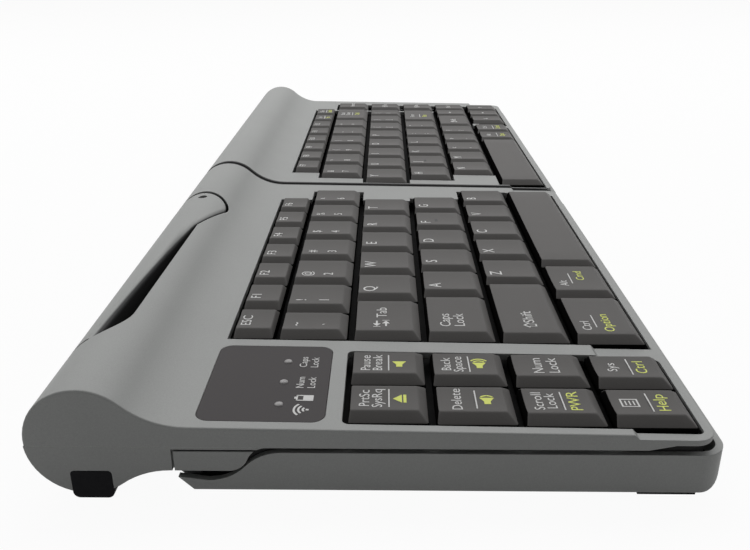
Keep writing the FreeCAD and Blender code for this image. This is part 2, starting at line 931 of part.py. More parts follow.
def key_plate(half, cells):
    x = half.span(plate_margin, plate_margin + lid_end_gap)
    y = (belly_front() + lid_wall + body_gap, row_rear["function"] + plate_rear_margin)
    plate = box(x, y, (plate_top() - plate_thickness, plate_top()))
    holes = [stem_box(middle, seat_gap, (floor_z, 2 * seam_z)) for middle in key_middles(cells, half.side)]
    for place_x, place_y, joint in screw_places(half):
        if joint != seam_z:
            low = (place_x, place_y, floor_z)
            high = (place_x, place_y, 2 * seam_z)
            holes.append(rod(screw_shank + seat_gap, low, high))
    return cut_all(plate, holes)


def membrane(half):
    wall = 2 * lid_wall + lid_gap + body_gap
    x = half.span(wall, wall + lid_end_gap)
    low = floor_z + case_wall
    y = (belly_front() + lid_wall + body_gap, row_rear["function"] - membrane_rear_margin)
    sheet = box(x, y, (low, low + membrane_thickness))
    holes = []
    for place_x, place_y, _ in screw_places(half):
        holes.append(rod(post_radius + body_gap, (place_x, place_y, floor_z), (place_x, place_y, seam_z)))
    return cut_all(sheet, holes)


def case_screws(half):
    screws = []
    for x, y, joint in screw_places(half):
        head_low = floor_z + screw_head_depth
        head_top = head_low + screw_head_height
        head = rod(screw_head, (x, y, head_low), (x, y, head_top))
        shank = rod(screw_shank, (x, y, head_top), (x, y, joint + screw_grip - running_gap))
        screws.append(fused([head, shank]))
    return screws


# Indicator plate and lenses

def label_prism(gap, corner):
    """Upright block over the label plate, between the half's end and the main key block."""
    inner = main_block_from_end - label_to_keys
    x = (left.from_end(label_from_end - gap), left.from_end(inner + gap))
    prism = box(x, (label_front_y - gap, label_front_y + label_depth + gap), (seam_z, 2 * seam_z))
    return prism.makeFillet(corner + gap, upright_edges(prism))


def deck_skin(inset):
    """Layer of the left deck between its surface and a depth."""
    whole = extruded(half_profile(0), left.span(0, 0))
    return whole.cut(extruded(half_profile(inset), left.span(-overcut, -overcut)))


def label_pocket():
    return label_prism(seat_gap, label_corner).common(deck_skin(label_thickness))


def lens_bars(gap):
    bars = []
    for index in range(3):
        x = left.from_end(lens_from_end + index * lens_spacing)
        top = deck_height(lens_y)
        bars.append(rod(lens_radius + gap, (x, lens_y, top - lens_height), (x, lens_y, top)))
    return bars


def indicator_plate():
    return cut_all(label_prism(0, label_corner).common(deck_skin(label_thickness)), lens_bars(running_gap))


# Lock lever

def lever_pivot():
    return (-lever_pivot_from_split, lever_pivot_y)


def lever_neck(grow):
    """Where the waist of the lever meets its long front edge."""
    return (-lever_pivot_from_split - lever_neck_from_pivot, lever_neck_y - grow)


def tangent_point(point, centre, radius):
    """Where a line from a point touches the front of a circle."""
    run = V(*centre) - V(*point)
    heading = math.atan2(run.y, run.x) - math.asin(radius / run.Length)
    reach = math.sqrt(run.Length ** 2 - radius ** 2)
    return (point[0] + reach * math.cos(heading), point[1] + reach * math.sin(heading))


def lever_outline(grow, low, high):
    """The lever's outline, or one that is larger all round, standing between two heights.

    A waist runs from the round pivot end to the neck, a long front edge from there to the round tip."""
    rear = tube_y + 2 * tube_radius
    pivot = lever_pivot()
    radius = lever_end_radius + grow
    neck = lever_neck(grow)
    tip = left.from_end(lever_tip_from_end) - grow
    front = lever_front_y - grow
    plan = [(pivot[0], rear), tangent_point(neck, pivot, radius), neck, (tip, front), (tip, rear)]
    bar = upright(plan, low, high)
    corner = V(tip, front, (low + high) / 2)
    at_corner = [edge for edge in upright_edges(bar) if edge.CenterOfMass.isEqual(corner, 1e-6)]
    bar = bar.makeFillet(lever_tip_round + grow, at_corner)
    return fused([bar, rod(radius, (pivot[0], pivot[1], low), (pivot[0], pivot[1], high))])


def lever_room(grow, low):
    """Upright room round the lever, from a height up past the tube."""
    return lever_outline(lever_side_gap + grow, low, 2 * tube_z + tube_radius)


def tube_bar(radius, x):
    return rod(radius, (x[0], tube_y, tube_z), (x[1], tube_y, tube_z))


def lever_housing():
    """Walls and floor of the recess, inside the tube's outline."""
    room = lever_room(recess_wall, seam_z)
    return room.common(tube_bar(tube_radius, left.span(end_wall, end_wall)))


def lever_recess():
    return lever_room(0, lever_floor_z - lever_bed_gap)


def lever_shaft_hole():
    x, y = lever_pivot()
    return rod(lever_shaft + 2 * running_gap, (x, y, seam_z - tube_radius), (x, y, 2 * seam_z))


def finger_gap():
    """Room for a fingertip in front of the tongue, whose front edge draws back in one long arc."""
    neck = V(*lever_neck(0))
    middle = V(-lever_pivot_from_split - tongue_middle_from_pivot, tongue_middle_y)
    end = V(left.from_end(lever_tip_from_end) - overcut, tongue_tip_y)
    ahead = neck.y - 2 * tube_radius
    corners = [end, V(end.x, ahead), V(neck.x, ahead), neck]
    sides = [Part.makeLine(a, b) for a, b in zip(corners, corners[1:])]
    plan = Part.Wire([Part.Arc(neck, middle, end).toShape()] + sides)
    return Part.Face(plan).extrude(V(0, 0, 2 * tube_z + tube_radius))


def is_front_top(edge):
    """True for the lever's upper edge along its front, from the round end to the tip."""
    bounds = edge.BoundBox
    at_top = bounds.ZMin > tube_z + tube_radius / 2
    return at_top and bounds.YMax < tongue_tip_y and bounds.YLength > edge_round


def lock_lever():
    """Tongue and round end that complete the tube's outline, with the shaft and peg below."""
    x, y = lever_pivot()
    outline = lever_outline(0, lever_floor_z, 2 * tube_z + tube_radius)
    body = outline.common(tube_bar(tube_radius, left.span(0, 0))).cut(finger_gap())
    body = body.makeFillet(tongue_edge_round, [edge for edge in body.Edges if is_front_top(edge)])
    shaft = rod(lever_shaft, (x, y, lever_shaft_foot_z), (x, y, lever_floor_z + overcut))
    peg_y = y - lever_peg_offset
    peg = rod(lever_peg, (x, peg_y, lever_shaft_foot_z - lever_peg_height), (x, peg_y, lever_shaft_foot_z))
    mark_x = x + dimple_ahead
    surface = tube_z + math.sqrt(tube_radius ** 2 - (dimple_y - tube_y) ** 2)
    mark_low = surface - dimple_depth
    mark = rod(dimple_radius, (mark_x, dimple_y, mark_low), (mark_x, dimple_y, surface + overcut))
    return cut_all(fused([body, shaft, peg]), [mark])


def lever_ring():
    """Ring under the bed that keeps the lever's shaft from lifting out."""
    x, y = lever_pivot()
    low = seam_z - lever_bed_gap - ring_thickness
    ring = rod(lever_shaft + ring_width, (x, y, low), (x, y, low + ring_thickness))
    return ring.cut(rod(lever_shaft, (x, y, low - overcut), (x, y, low + ring_thickness + overcut)))


def brake_rod():
    """Flat rod, slotted round the lever's peg, that reaches to the knuckle's lower barrel."""
    x, y = lever_pivot()
    y -= lever_peg_offset
    low = lever_shaft_foot_z - lever_peg_height / 2 - rod_height / 2
    z = (low, low + rod_height)
    tip = -tent_barrel - rod_tip_gap
    slot_x = lever_peg + rod_slot_play
    bar = box((x + slot_x, tip), (y - rod_width / 2, y + rod_width / 2), z)
    eye_x = slot_x + rod_slot_wall
    eye_y = lever_peg + rod_slot_rear + rod_slot_wall
    eye = box((x - eye_x, x + eye_x), (y - eye_y, y + eye_y), z)
    slot_y = eye_y - rod_slot_wall
    slot_z = (z[0] - overcut, z[1] + overcut)
    slot = box((x - slot_x, x + slot_x), (y - slot_y, y + slot_y), slot_z)
    return cut_all(fused([bar, eye]), [slot])


# Knuckle joint

def bulkhead(half):
    """Round plate across the tube that carries the yoke."""
    x = half.side * bulkhead_from_split
    return tube_bar(tube_radius - case_wall, (x, x + half.side * bulkhead_thickness))


def left_yoke():
    """Plate with two lugs, above and below the link's upright barrel."""
    parts = [bulkhead(left)]
    for low, high in lug_heights():
        lug = rod(splay_barrel, (0, splay_y, low), (0, splay_y, high))
        arm = box((0, -bulkhead_from_split), (splay_y - splay_barrel, splay_y + splay_barrel), (low, high))
        parts += [lug, arm]
    pin = rod(splay_pin, (0, splay_y, 0), (0, splay_y, 2 * tube_z))
    low = lever_shaft_foot_z - lever_peg_height / 2 - rod_height / 2 - seat_gap
    rod_y = lever_pivot_y - lever_peg_offset
    reach = rod_width / 2 + seat_gap
    z = (low, low + rod_height + 2 * seat_gap)
    window = box((-2 * bulkhead_from_split, 0), (rod_y - reach, rod_y + reach), z)
    return cut_all(fused(parts), [pin, window])


def lug_heights():
    return [
        (splay_barrel_low - lug_gap - lug_thickness, splay_barrel_low - lug_gap),
        (splay_barrel_high + lug_gap, splay_barrel_high + lug_gap + lug_thickness),
    ]


def splay_pin_solid():
    low = lug_heights()[0][0]
    high = lug_heights()[1][1]
    return rod(splay_pin, (0, splay_y, low), (0, splay_y, high))


def joint_link():
    """Upright barrel for the splay pin, cross barrel for the tent pin, and the web between them."""
    upright_barrel = rod(splay_barrel, (0, splay_y, splay_barrel_low), (0, splay_y, splay_barrel_high))
    cross_barrel = rod(tent_barrel, (0, tent_barrel_front, tent_z), (0, tent_barrel_rear, tent_z))
    reach = link_web / 2
    web = box((-reach, reach), (tent_barrel_front, splay_y), (splay_barrel_low, splay_barrel_high))
    leg = box((-reach, reach), (tent_barrel_front, tent_barrel_rear), (tent_z, splay_barrel_high))
    bores = [
        rod(splay_pin + running_gap, (0, splay_y, 0), (0, splay_y, 2 * tube_z)),
        rod(tent_pin + running_gap, (0, 0, tent_z), (0, 2 * tube_y, tent_z)),
    ]
    return cut_all(fused([upright_barrel, cross_barrel, web, leg]), bores)


def right_yoke():
    """Plate with two lugs, in front of and behind the link's cross barrel."""
    parts = [bulkhead(right)]
    for front, rear in lug_depths():
        lug = rod(tent_barrel, (0, front, tent_z), (0, rear, tent_z))
        arm = box((0, bulkhead_from_split), (front, rear), (tent_z - tent_barrel, tent_z + tent_barrel))
        parts += [lug, arm]
    pin = rod(tent_pin, (0, 0, tent_z), (0, 2 * tube_y, tent_z))
    return cut_all(fused(parts), [pin])


def lug_depths():
    return [
        (tent_barrel_front - lug_gap - lug_thickness, tent_barrel_front - lug_gap),
        (tent_barrel_rear + lug_gap, tent_barrel_rear + lug_gap + lug_thickness),
    ]


def tent_pin_solid():
    front = lug_depths()[0][0]
    rear = lug_depths()[1][1]
    return rod(tent_pin, (0, front, tent_z), (0, rear, tent_z))


# Boards and batteries

def circuit_board(half, start, length):
    x = (half.from_end(start), half.from_end(start + length))
    return box(x, (tube_y - board_width / 2, tube_y + board_width / 2), (board_z, board_z + board_thickness))


def cell_start(index):
    """Distance from the right end to each cell, with a contact before, between and after them."""
    spacing = cell_length + contact_thickness + 2 * contact_gap
    first = half_length - cells_from_split - 2 * spacing + contact_gap
    return first + index * spacing


def right_board_length():
    """The right board fills the tube between its outer end and the cells."""
    return cell_start(0) - board_to_cells - board_from_end


def battery_cells():
    cells = []
    for index in range(2):
        x = (right.from_end(cell_start(index)), right.from_end(cell_start(index) + cell_length))
        cells.append(rod(cell_radius, (x[0], tube_y, cell_z), (x[1], tube_y, cell_z)))
    return cells


def contact_places():
    """Distances from the right end to the near face of each contact plate."""
    first = cell_start(0) - contact_gap - contact_thickness
    between = cell_start(0) + cell_length + contact_gap
    last = cell_start(1) + cell_length + contact_gap
    return [first, between, last]


def contact_plate(place, gap):
    x = (right.from_end(place - gap), right.from_end(place + contact_thickness + gap))
    y = (tube_y - contact_width / 2 - gap, tube_y + contact_width / 2 + gap)
    return box(x, y, (cell_z - contact_height / 2, cell_z + contact_height / 2))


def contact_slot_block(place):
    """Rib in the tube floor that a contact plate stands in."""
    centre = right.from_end(place + contact_thickness / 2)
    thickness = contact_thickness + 2 * contact_block_wall
    return tube_rib(right, centre, thickness, cell_z - cell_radius + contact_block_rise).cut(battery_cells())


def door_tool(gap):
    """Upright block that takes the door out of the tube floor."""
    first = cell_start(0) + door_margin - gap
    last = cell_start(1) + cell_length - door_margin + gap
    x = (right.from_end(first), right.from_end(last))
    y = (tube_y - door_width / 2 - gap, tube_y + door_width / 2 + gap)
    return box(x, y, (0, tube_z - tube_radius + case_wall + door_ledge_height))


def battery_door():
    room = tube_bar(tube_radius - case_wall, right.span(-overcut, -overcut))
    return tube_bar(tube_radius, right.span(0, 0)).cut(room).common(door_tool(0))


def write(name, shape):
    """Write a solid, or a list of separate solids, as one part."""
    solids = shape if isinstance(shape, list) else [shape]
    whole = solids[0] if len(solids) == 1 else Part.makeCompound(solids)
    whole.exportStep(os.path.join("parts", name + ".step"))


def main():
    os.makedirs("parts", exist_ok=True)
    cells = key_cells()
    for name, half in halves.items():
        write(name + "_top_case", top_case(half, cells))
        write(name + "_bottom_case", bottom_case(half, cells))
        write(name + "_key_plate", key_plate(half, cells))
        write(name + "_membrane", membrane(half))
        write(name + "_case_screws", case_screws(half))
        write(name + "_tube_feet", tube_foot_parts(half))
        write(name + "_lid", lid(half))
        write(name + "_lid_pins", lid_pins(half))
        write(name + "_lid_feet", lid_feet(half))
    for name, spans in cells.items():
        write(name, [keycap(*span) for span in spans])
    write("indicator_plate", indicator_plate())
    write("indicator_lenses", lens_bars(0))
    write("lock_lever", lock_lever())
    write("lever_ring", lever_ring())
    write("brake_rod", brake_rod())
    write("left_yoke", left_yoke())
    write("splay_pin", splay_pin_solid())
    write("joint_link", joint_link())
    write("tent_pin", tent_pin_solid())
    write("right_yoke", right_yoke())
    write("left_circuit_board", circuit_board(left, board_from_end, board_length))
    write("right_circuit_board", circuit_board(right, board_from_end, right_board_length()))
    write("battery_cells", battery_cells())
    write("battery_contacts", [contact_plate(place, 0) for place in contact_places()])
    write("battery_door", battery_door())


main()
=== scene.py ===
import itertools
import math

import bpy
import numpy as np
from bpy.props import FloatProperty, FloatVectorProperty, PointerProperty
from bpy.types import Operator, Panel, PropertyGroup
from mathutils import Matrix


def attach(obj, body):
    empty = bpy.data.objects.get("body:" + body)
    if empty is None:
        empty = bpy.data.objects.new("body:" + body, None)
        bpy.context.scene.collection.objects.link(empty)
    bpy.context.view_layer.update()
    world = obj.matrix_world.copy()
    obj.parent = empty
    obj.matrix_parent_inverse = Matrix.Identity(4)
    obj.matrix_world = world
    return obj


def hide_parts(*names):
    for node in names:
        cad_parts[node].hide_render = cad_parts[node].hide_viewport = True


bl_info = {
    "name": "Split keyboard",
    "version": (1, 0, 0),
    "blender": (4, 5, 0),
    "location": "3D View > Sidebar > Keyboard",
    "description": "Keycaps, printing, finishes and studio of a portable split keyboard",
    "category": "Object",
}

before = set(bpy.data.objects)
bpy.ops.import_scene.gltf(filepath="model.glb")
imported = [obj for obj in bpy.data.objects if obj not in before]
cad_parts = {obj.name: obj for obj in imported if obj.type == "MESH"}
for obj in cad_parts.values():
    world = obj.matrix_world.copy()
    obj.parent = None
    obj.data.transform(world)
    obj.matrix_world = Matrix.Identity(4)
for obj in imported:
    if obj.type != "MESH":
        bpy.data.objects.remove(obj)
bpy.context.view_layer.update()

MM = 0.001

# Form of the cases that the paint follows
TUBE_Y = 62.0 * MM
TUBE_Z = 13.95 * MM
TUBE_RADIUS = 12.7 * MM
TUBE_FRONT_Y = 53.0 * MM
SHOULDER_Y = 43.0 * MM
DECK_Z = 17.35 * MM
DECK_SLOPE = 0.013
CASE_END_X = 183.0 * MM
CASE_FRONT_Y = -71.9 * MM
CASE_CORNER = 5.0 * MM
LID_FRONT_Y = -74.7 * MM
LID_CORNER = 5.8 * MM
LID_FLOOR_Z = 3.9 * MM
LID_INNER_X = 3.0 * MM
LID_WALL = 1.6 * MM
SEAM_X = 1.1 * MM
# Painted shade on the lever's front curve: the edge it darkens towards, the neck where it starts, how far it
# grows and how wide it fades
LEVER_EDGE_Y = 61.0 * MM
LEVER_NECK_X = 77.0 * MM
LEVER_FINGER = 30.0 * MM
LEVER_PAINTED_SHADE = 3.2 * MM

# Depths below an outer face where the silver paint starts and where it is full; deeper down the black is
# painted shade
WALL_PAINT = (0.6 * MM, 0.2 * MM)
TUBE_PAINT = (0.8 * MM, 0.3 * MM)
DECK_PAINT = (2.0 * MM, 1.6 * MM)
# Painted shade of the seam: how far from the split the black reaches and where the silver is full
SEAM_PAINTED_SHADE = (0.8 * MM, 1.3 * MM)
LID_WALL_FADE = 0.1 * MM
LID_FADE = 0.3 * MM
REGION_FADE = 0.2 * MM

# Paint: cells of its flakes and clouds to the metre, radius of its soft edges, and how much lighter their
# painted highlight makes them
FLAKES = 3200.0
CLOUDS = 60.0
PAINT_EDGE = 0.35 * MM
EDGE_PAINTED_HIGHLIGHT = 0.5

# Mesh of a cap: steps round a corner and along a side, the rings that close its top, and the rows of
# faces that get painted shade all round and at the rear
CORNER_STEPS = 3
SIDE_STEPS = 8
TOP_SHARES = np.array([0.8, 0.6, 0.4, 0.2, 0.02])
SKIRT_ROWS = 3
REAR_ROWS = 7
REAR_FACING = 0.9

# A cap is short or wide by its size as a share of a full cap's depth
SHORT_CAP = 0.8
WIDE_CAP = 1.3

# Mesh of a lamp dome and of an arc in a sign
DOME_STEPS = 6
DOME_CLOSE = 0.98
DOME_SIDES = 24
ARC_POINTS = 9

# Height of the font's capitals as a share of its size
CAPITALS = 0.7

# Colours of the inner pieces, in linear light
# Painted shade: the sheet under the keys is black so that the gaps between caps look dark
SHEET_SHADE_BLACK = (0.006, 0.006, 0.006)
STEEL = (0.55, 0.55, 0.56)
ALLOY = (0.5, 0.5, 0.52)
BOARD_GREEN = (0.02, 0.11, 0.05)
CELL_BLUE = (0.05, 0.06, 0.09)
LENS_GREY = (0.34, 0.33, 0.33)

# Shares of the cap's colour and sheen on its top and, as painted shade, on its skirt and rear faces
TOP_SHADE = 1.0
TOP_SHEEN = 0.2
SKIRT_PAINTED_SHADE = 0.06
SKIRT_SHEEN = 0.0

# Studio, in metres; a floor that is seen turns nearly into plain white
LAMP_PLACE = (0.5, 0.05, 0.88)
LAMP_ACROSS = 2.2
LAMP_ALONG = 0.7
FLOOR_REACH = 3.0
FLOOR_SHADE = 0.72
FLOOR_SEEN = 0.9
FLOOR_GLOW = 0.95
SENSOR_WIDTH = 36.0
CLIP_START = 0.01

# Carried-over nodes by the finish that they get
HALVES = ("left", "right")
RUBBER_NODES = [half + part for half in HALVES for part in ("_tube_feet", "_lid_feet")]
# Painted shade: the key plates and membranes get the black sheet
SHADE_SHEET_NODES = [half + part for half in HALVES for part in ("_key_plate", "_membrane")]
STEEL_NODES = [half + part for half in HALVES for part in ("_case_screws", "_lid_pins")]
STEEL_NODES += ["lever_ring", "brake_rod", "splay_pin", "tent_pin", "battery_contacts"]
CAST_NODES = ["left_yoke", "right_yoke", "joint_link"]
BOARD_NODES = [half + "_circuit_board" for half in HALVES]

# Legends. A mark is (shape, across, along, height in mm, ink): across and along are shares of the
# cap's top, from its middle to the right and to the rear.
WHITE = 0
LIME = 1
DARK = 2
WORD_STEP = 0.25
SMALL_WORD_STEP = 0.19
RULE_HEIGHT = 0.3


def letter(sign):
    """One sign in the rear left of a cap."""
    return [(sign, -0.26, 0.29, 3.6, WHITE)]


def homing(sign):
    """A letter and the small bar that the first finger feels."""
    return letter(sign) + [("homing_bar", -0.08, 0.03, 1.0, DARK)]


def pair(shifted, plain):
    """The shifted sign at the rear, the plain one near the middle."""
    return [(shifted, -0.28, 0.28, 2.9, WHITE), (plain, -0.28, -0.15, 2.9, WHITE)]


def function(sign):
    """Name of a function key, at the rear of its short cap."""
    return [(sign, -0.15, 0.24, 2.8, WHITE)]


def words(*lines, across=0.0, along=0.0, height=2.6):
    """Lines of a wide cap, one below the other about a level."""
    start = along + WORD_STEP / 2 * (len(lines) - 1)
    return [(line, across, start - WORD_STEP * row, height, WHITE) for row, line in enumerate(lines)]


def double(lines, second, size=2.6, height=2.3, across=0.0):
    """White words at the rear, a thin rule, and a lime second meaning at the front."""
    start = 0.3 if len(lines) > 1 else 0.22
    marks = [(line, across, start - SMALL_WORD_STEP * row, height, WHITE) for row, line in enumerate(lines)]
    return marks + [("rule", across, -0.07, RULE_HEIGHT, WHITE), (second, across, -0.24, size, LIME)]


def shift(across):
    """The hollow arrow and the word beside it."""
    return [("shift_arrow", across - 0.16, -0.01, 3.6, WHITE), ("Shift", across, -0.01, 2.9, WHITE)]


LEGENDS = {
    "key_escape": [words("ESC", across=-0.06, along=0.26)],
    "keys_function_left": [function(f"F{number}") for number in range(1, 7)],
    "key_grave": [[("~", -0.16, 0.28, 2.9, WHITE), ("`", -0.16, -0.28, 2.9, WHITE)]],
    "keys_number_left": [pair(*signs) for signs in ("!1", "@2", "#3", "$4", "%5", "^6")],
    "key_tab": [[("tab_arrows", -0.26, 0.05, 4.3, WHITE), ("Tab", 0.12, 0.05, 2.8, WHITE)]],
    "keys_upper_left": [letter(sign) for sign in "QWERT"],
    "key_caps_lock": [words("Caps", "Lock", across=-0.18, along=0.08, height=2.8)],
    "keys_home_left": [letter("A"), letter("S"), letter("D"), homing("F"), letter("G")],
    "key_shift_left": [shift(-0.2)],
    "keys_lower_left": [letter(sign) for sign in "ZXCVB"],
    "key_control_left": [[("Ctrl", -0.28, 0.28, 2.4, WHITE), ("rule", -0.16, 0.1, RULE_HEIGHT, WHITE),
                          ("Option", -0.2, -0.1, 2.6, LIME)]],
    "key_alt_left": [[("Alt", -0.2, 0.28, 2.4, WHITE), ("rule", 0.0, 0.1, RULE_HEIGHT, WHITE),
                      ("Cmd", 0.12, -0.1, 2.4, LIME)]],
    "keys_end_outer": [double(["PrtSc", "SysRq"], "eject", 3.3), double(["Delete"], "sound_low", 3.3),
                       double(["Scroll", "Lock"], "PWR"), double(["menu_sheet"], "Help", height=3.6)],
    "keys_end_inner": [double(["Pause", "Break"], "sound_off", 3.3),
                       double(["Back", "Space"], "sound_high", 3.3),
                       words("Num", "Lock"), double(["Sys"], "Ctrl")],
    "keys_function_right": [function(sign) for sign in ("F7", "F8", "F9", "F10", "F11", "F12")]
    + [double(["Ins"], "Fn"), double(["Esc"], "Lock")],
    "keys_number_right": [pair(*signs) for signs in ("&7", "*8", "(9", ")0", "_-", "+=")],
    "key_backspace": [double(["Back", "Space"], "Del")],
    "keys_upper_right": [letter(sign) for sign in "YUIOP"] + [pair(*signs) for signs in ("{[", "}]", "|\\")],
    "keys_home_right": [letter("H"), homing("J"), letter("K"), letter("L"), pair(":", ";"), pair("\"", "'")],
    "key_enter": [double(["Enter"], "Ret", across=-0.1)],
    "keys_lower_right": [letter(sign) for sign in "NM"] + [pair(*signs) for signs in ("<,", ">.", "?/")],
    "key_shift_right": [shift(-0.1)],
    "keys_modifier_right": [double(["Alt"], "Opt"), double(["Ctrl"], "Cmd")],
    "keys_arrow": [[("arrow_left", 0, 0, 2.6, WHITE)], [("arrow_down", 0, 0, 2.6, WHITE)],
                   [("arrow_right", 0, 0, 2.6, WHITE)], [("arrow_up", 0, 0, 2.6, WHITE)]],
    "keys_far_column": [words("Home"), words("PgUp"), words("PgDn"), words("End")],
}
BLANK_CAPS = ["key_space_left", "key_space_right"]

# Prints of the indicator plate as (sign, x, y, height), in mm
PLATE_MARKS = [
    ("Caps", -153.65, 17.75, 1.8), ("Lock", -153.85, 15.05, 1.8),
    ("Num", -163.4, 17.65, 1.8), ("Lock", -163.5, 15.05, 1.8),
    ("battery", -170.25, 16.2, 3.5), ("wireless", -175.1, 15.1, 3.9),
]


class KeyboardSizes(PropertyGroup):
    """Sizes of the keycaps and of what is printed on them."""

    skirt: FloatProperty(
        name="Skirt height", description="Height of a cap's lower edge above the table",
        default=14.6 * MM, unit="LENGTH")
    slope_height: FloatProperty(
        name="Slope height", description="Height of the sloped band under a cap's top",
        default=2.0 * MM, unit="LENGTH")
    side_slope: FloatProperty(
        name="Side slope", description="How far a cap's sides lean in", default=2.55 * MM, unit="LENGTH")
    front_slope: FloatProperty(
        name="Front slope", description="How far a full cap's front leans in",
        default=2.2 * MM, unit="LENGTH")
    function_slope: FloatProperty(
        name="Function row slope", description="How far the front of a short cap leans in",
        default=0.8 * MM, unit="LENGTH")
    rear_slope: FloatProperty(
        name="Rear slope", description="How far a cap's rear leans in", default=0.35 * MM, unit="LENGTH")
    setback: FloatProperty(
        name="Row setback", description="How far a cap's front and rear stay back from the key's pitch",
        default=0.35 * MM, unit="LENGTH")
    cap_depth: FloatProperty(
        name="Cap depth", description="Front to rear size of a full cap", default=18.05 * MM, unit="LENGTH")
    edge_round: FloatProperty(
        name="Edge rounding", description="Size of the soft edges of a cap", default=0.3 * MM, unit="LENGTH")
    corner_round: FloatProperty(
        name="Corner rounding", description="Radius of a cap's upright corners",
        default=0.5 * MM, unit="LENGTH")
    dish: FloatProperty(
        name="Dish", description="Depth of the finger dish in a cap's top", default=0.35 * MM, unit="LENGTH")
    wide_dish: FloatProperty(
        name="Wide cap dish", description="Depth of the dish in a wide cap", default=0.15 * MM, unit="LENGTH")
    ink: FloatProperty(
        name="Ink thickness", description="How far the printing stands on the cap",
        default=0.04 * MM, unit="LENGTH")
    lens_rise: FloatProperty(
        name="Lens rise", description="Height of the dome of a lamp lens", default=0.45 * MM, unit="LENGTH")


class KeyboardColours(PropertyGroup):
    """Colours of the finishes, in linear light."""

    silver: FloatVectorProperty(
        name="Silver paint", description="Paint of the cases and lids",
        default=(0.300, 0.306, 0.300), subtype="COLOR", min=0, max=1)
    # Painted shade: this black stands for shade where the silver stops; it is also the dark ink of the homing
    # bars
    shade_and_ink_black: FloatVectorProperty(
        name="Bare plastic", description="Black plastic where the paint ends",
        default=(0.004, 0.004, 0.004), subtype="COLOR", min=0, max=1)
    cap: FloatVectorProperty(
        name="Keycap", description="Plastic of the keycaps",
        default=(0.092, 0.088, 0.085), subtype="COLOR", min=0, max=1)
    plate: FloatVectorProperty(
        name="Indicator plate", description="Film on the indicator plate",
        default=(0.084, 0.0785, 0.080), subtype="COLOR", min=0, max=1)
    white: FloatVectorProperty(
        name="White ink", description="Main printing",
        default=(0.74, 0.74, 0.73), subtype="COLOR", min=0, max=1)
    lime: FloatVectorProperty(
        name="Lime ink", description="Second printing",
        default=(0.78, 0.85, 0.15), subtype="COLOR", min=0, max=1)
    rubber: FloatVectorProperty(
        name="Rubber", description="Feet", default=(0.004, 0.004, 0.005), subtype="COLOR", min=0, max=1)


class StudioSettings(PropertyGroup):
    """Camera and light of the studio."""

    camera_place: FloatVectorProperty(
        name="Camera place", description="Where the camera stands",
        default=(-327.82 * MM, -1.19 * MM, 112.63 * MM), subtype="TRANSLATION", unit="LENGTH")
    heading: FloatProperty(
        name="Heading", description="Turn of the view from the keyboard's length",
        default=math.radians(0.585), subtype="ANGLE")
    pitch: FloatProperty(
        name="Pitch", description="How far the camera looks down",
        default=math.radians(22.518), subtype="ANGLE")
    roll: FloatProperty(
        name="Roll", description="Turn of the camera about its view",
        default=math.radians(0.035), subtype="ANGLE")
    lens: FloatProperty(
        name="Lens", description="Focal length in millimetres on a 36 mm frame", default=39.247)
    key_power: FloatProperty(name="Overhead light", description="Power of the lamp above", default=12.0)
    sky: FloatProperty(name="Sky", description="Strength of the even light from all round", default=0.12)


class Keyboard(PropertyGroup):
    """All settings of the keyboard."""

    sizes: PointerProperty(type=KeyboardSizes)
    colours: PointerProperty(type=KeyboardColours)
    studio: PointerProperty(type=StudioSettings)


class Field:
    """A shader value that takes part in Python sums: each operator adds a Math node."""

    def __init__(self, finish, socket):
        self.finish = finish
        self.socket = socket

    def join(self, operation, first, second):
        return self.finish.node("Math", {"operation": operation}, {0: first, 1: second})

    def __add__(self, other):
        return self.join("ADD", self, other)

    def __mul__(self, other):
        return self.join("MULTIPLY", self, other)

    def __sub__(self, other):
        return self.join("SUBTRACT", self, other)

    def __rsub__(self, other):
        return self.join("SUBTRACT", other, self)

    def __pow__(self, power):
        return self.join("POWER", self, power)

    def __abs__(self):
        return self.join("ABSOLUTE", self, 0.0)

    def over(self, other):
        """The larger of two values."""
        return self.join("MAXIMUM", self, other)

    __radd__ = __add__
    __rmul__ = __mul__

    def ramp(self, low, high):
        """0 below low, 1 above high, with a soft step between."""
        settings = {"interpolation_type": "SMOOTHSTEP"}
        return self.finish.node("MapRange", settings, {"Value": self, "From Min": low, "From Max": high})


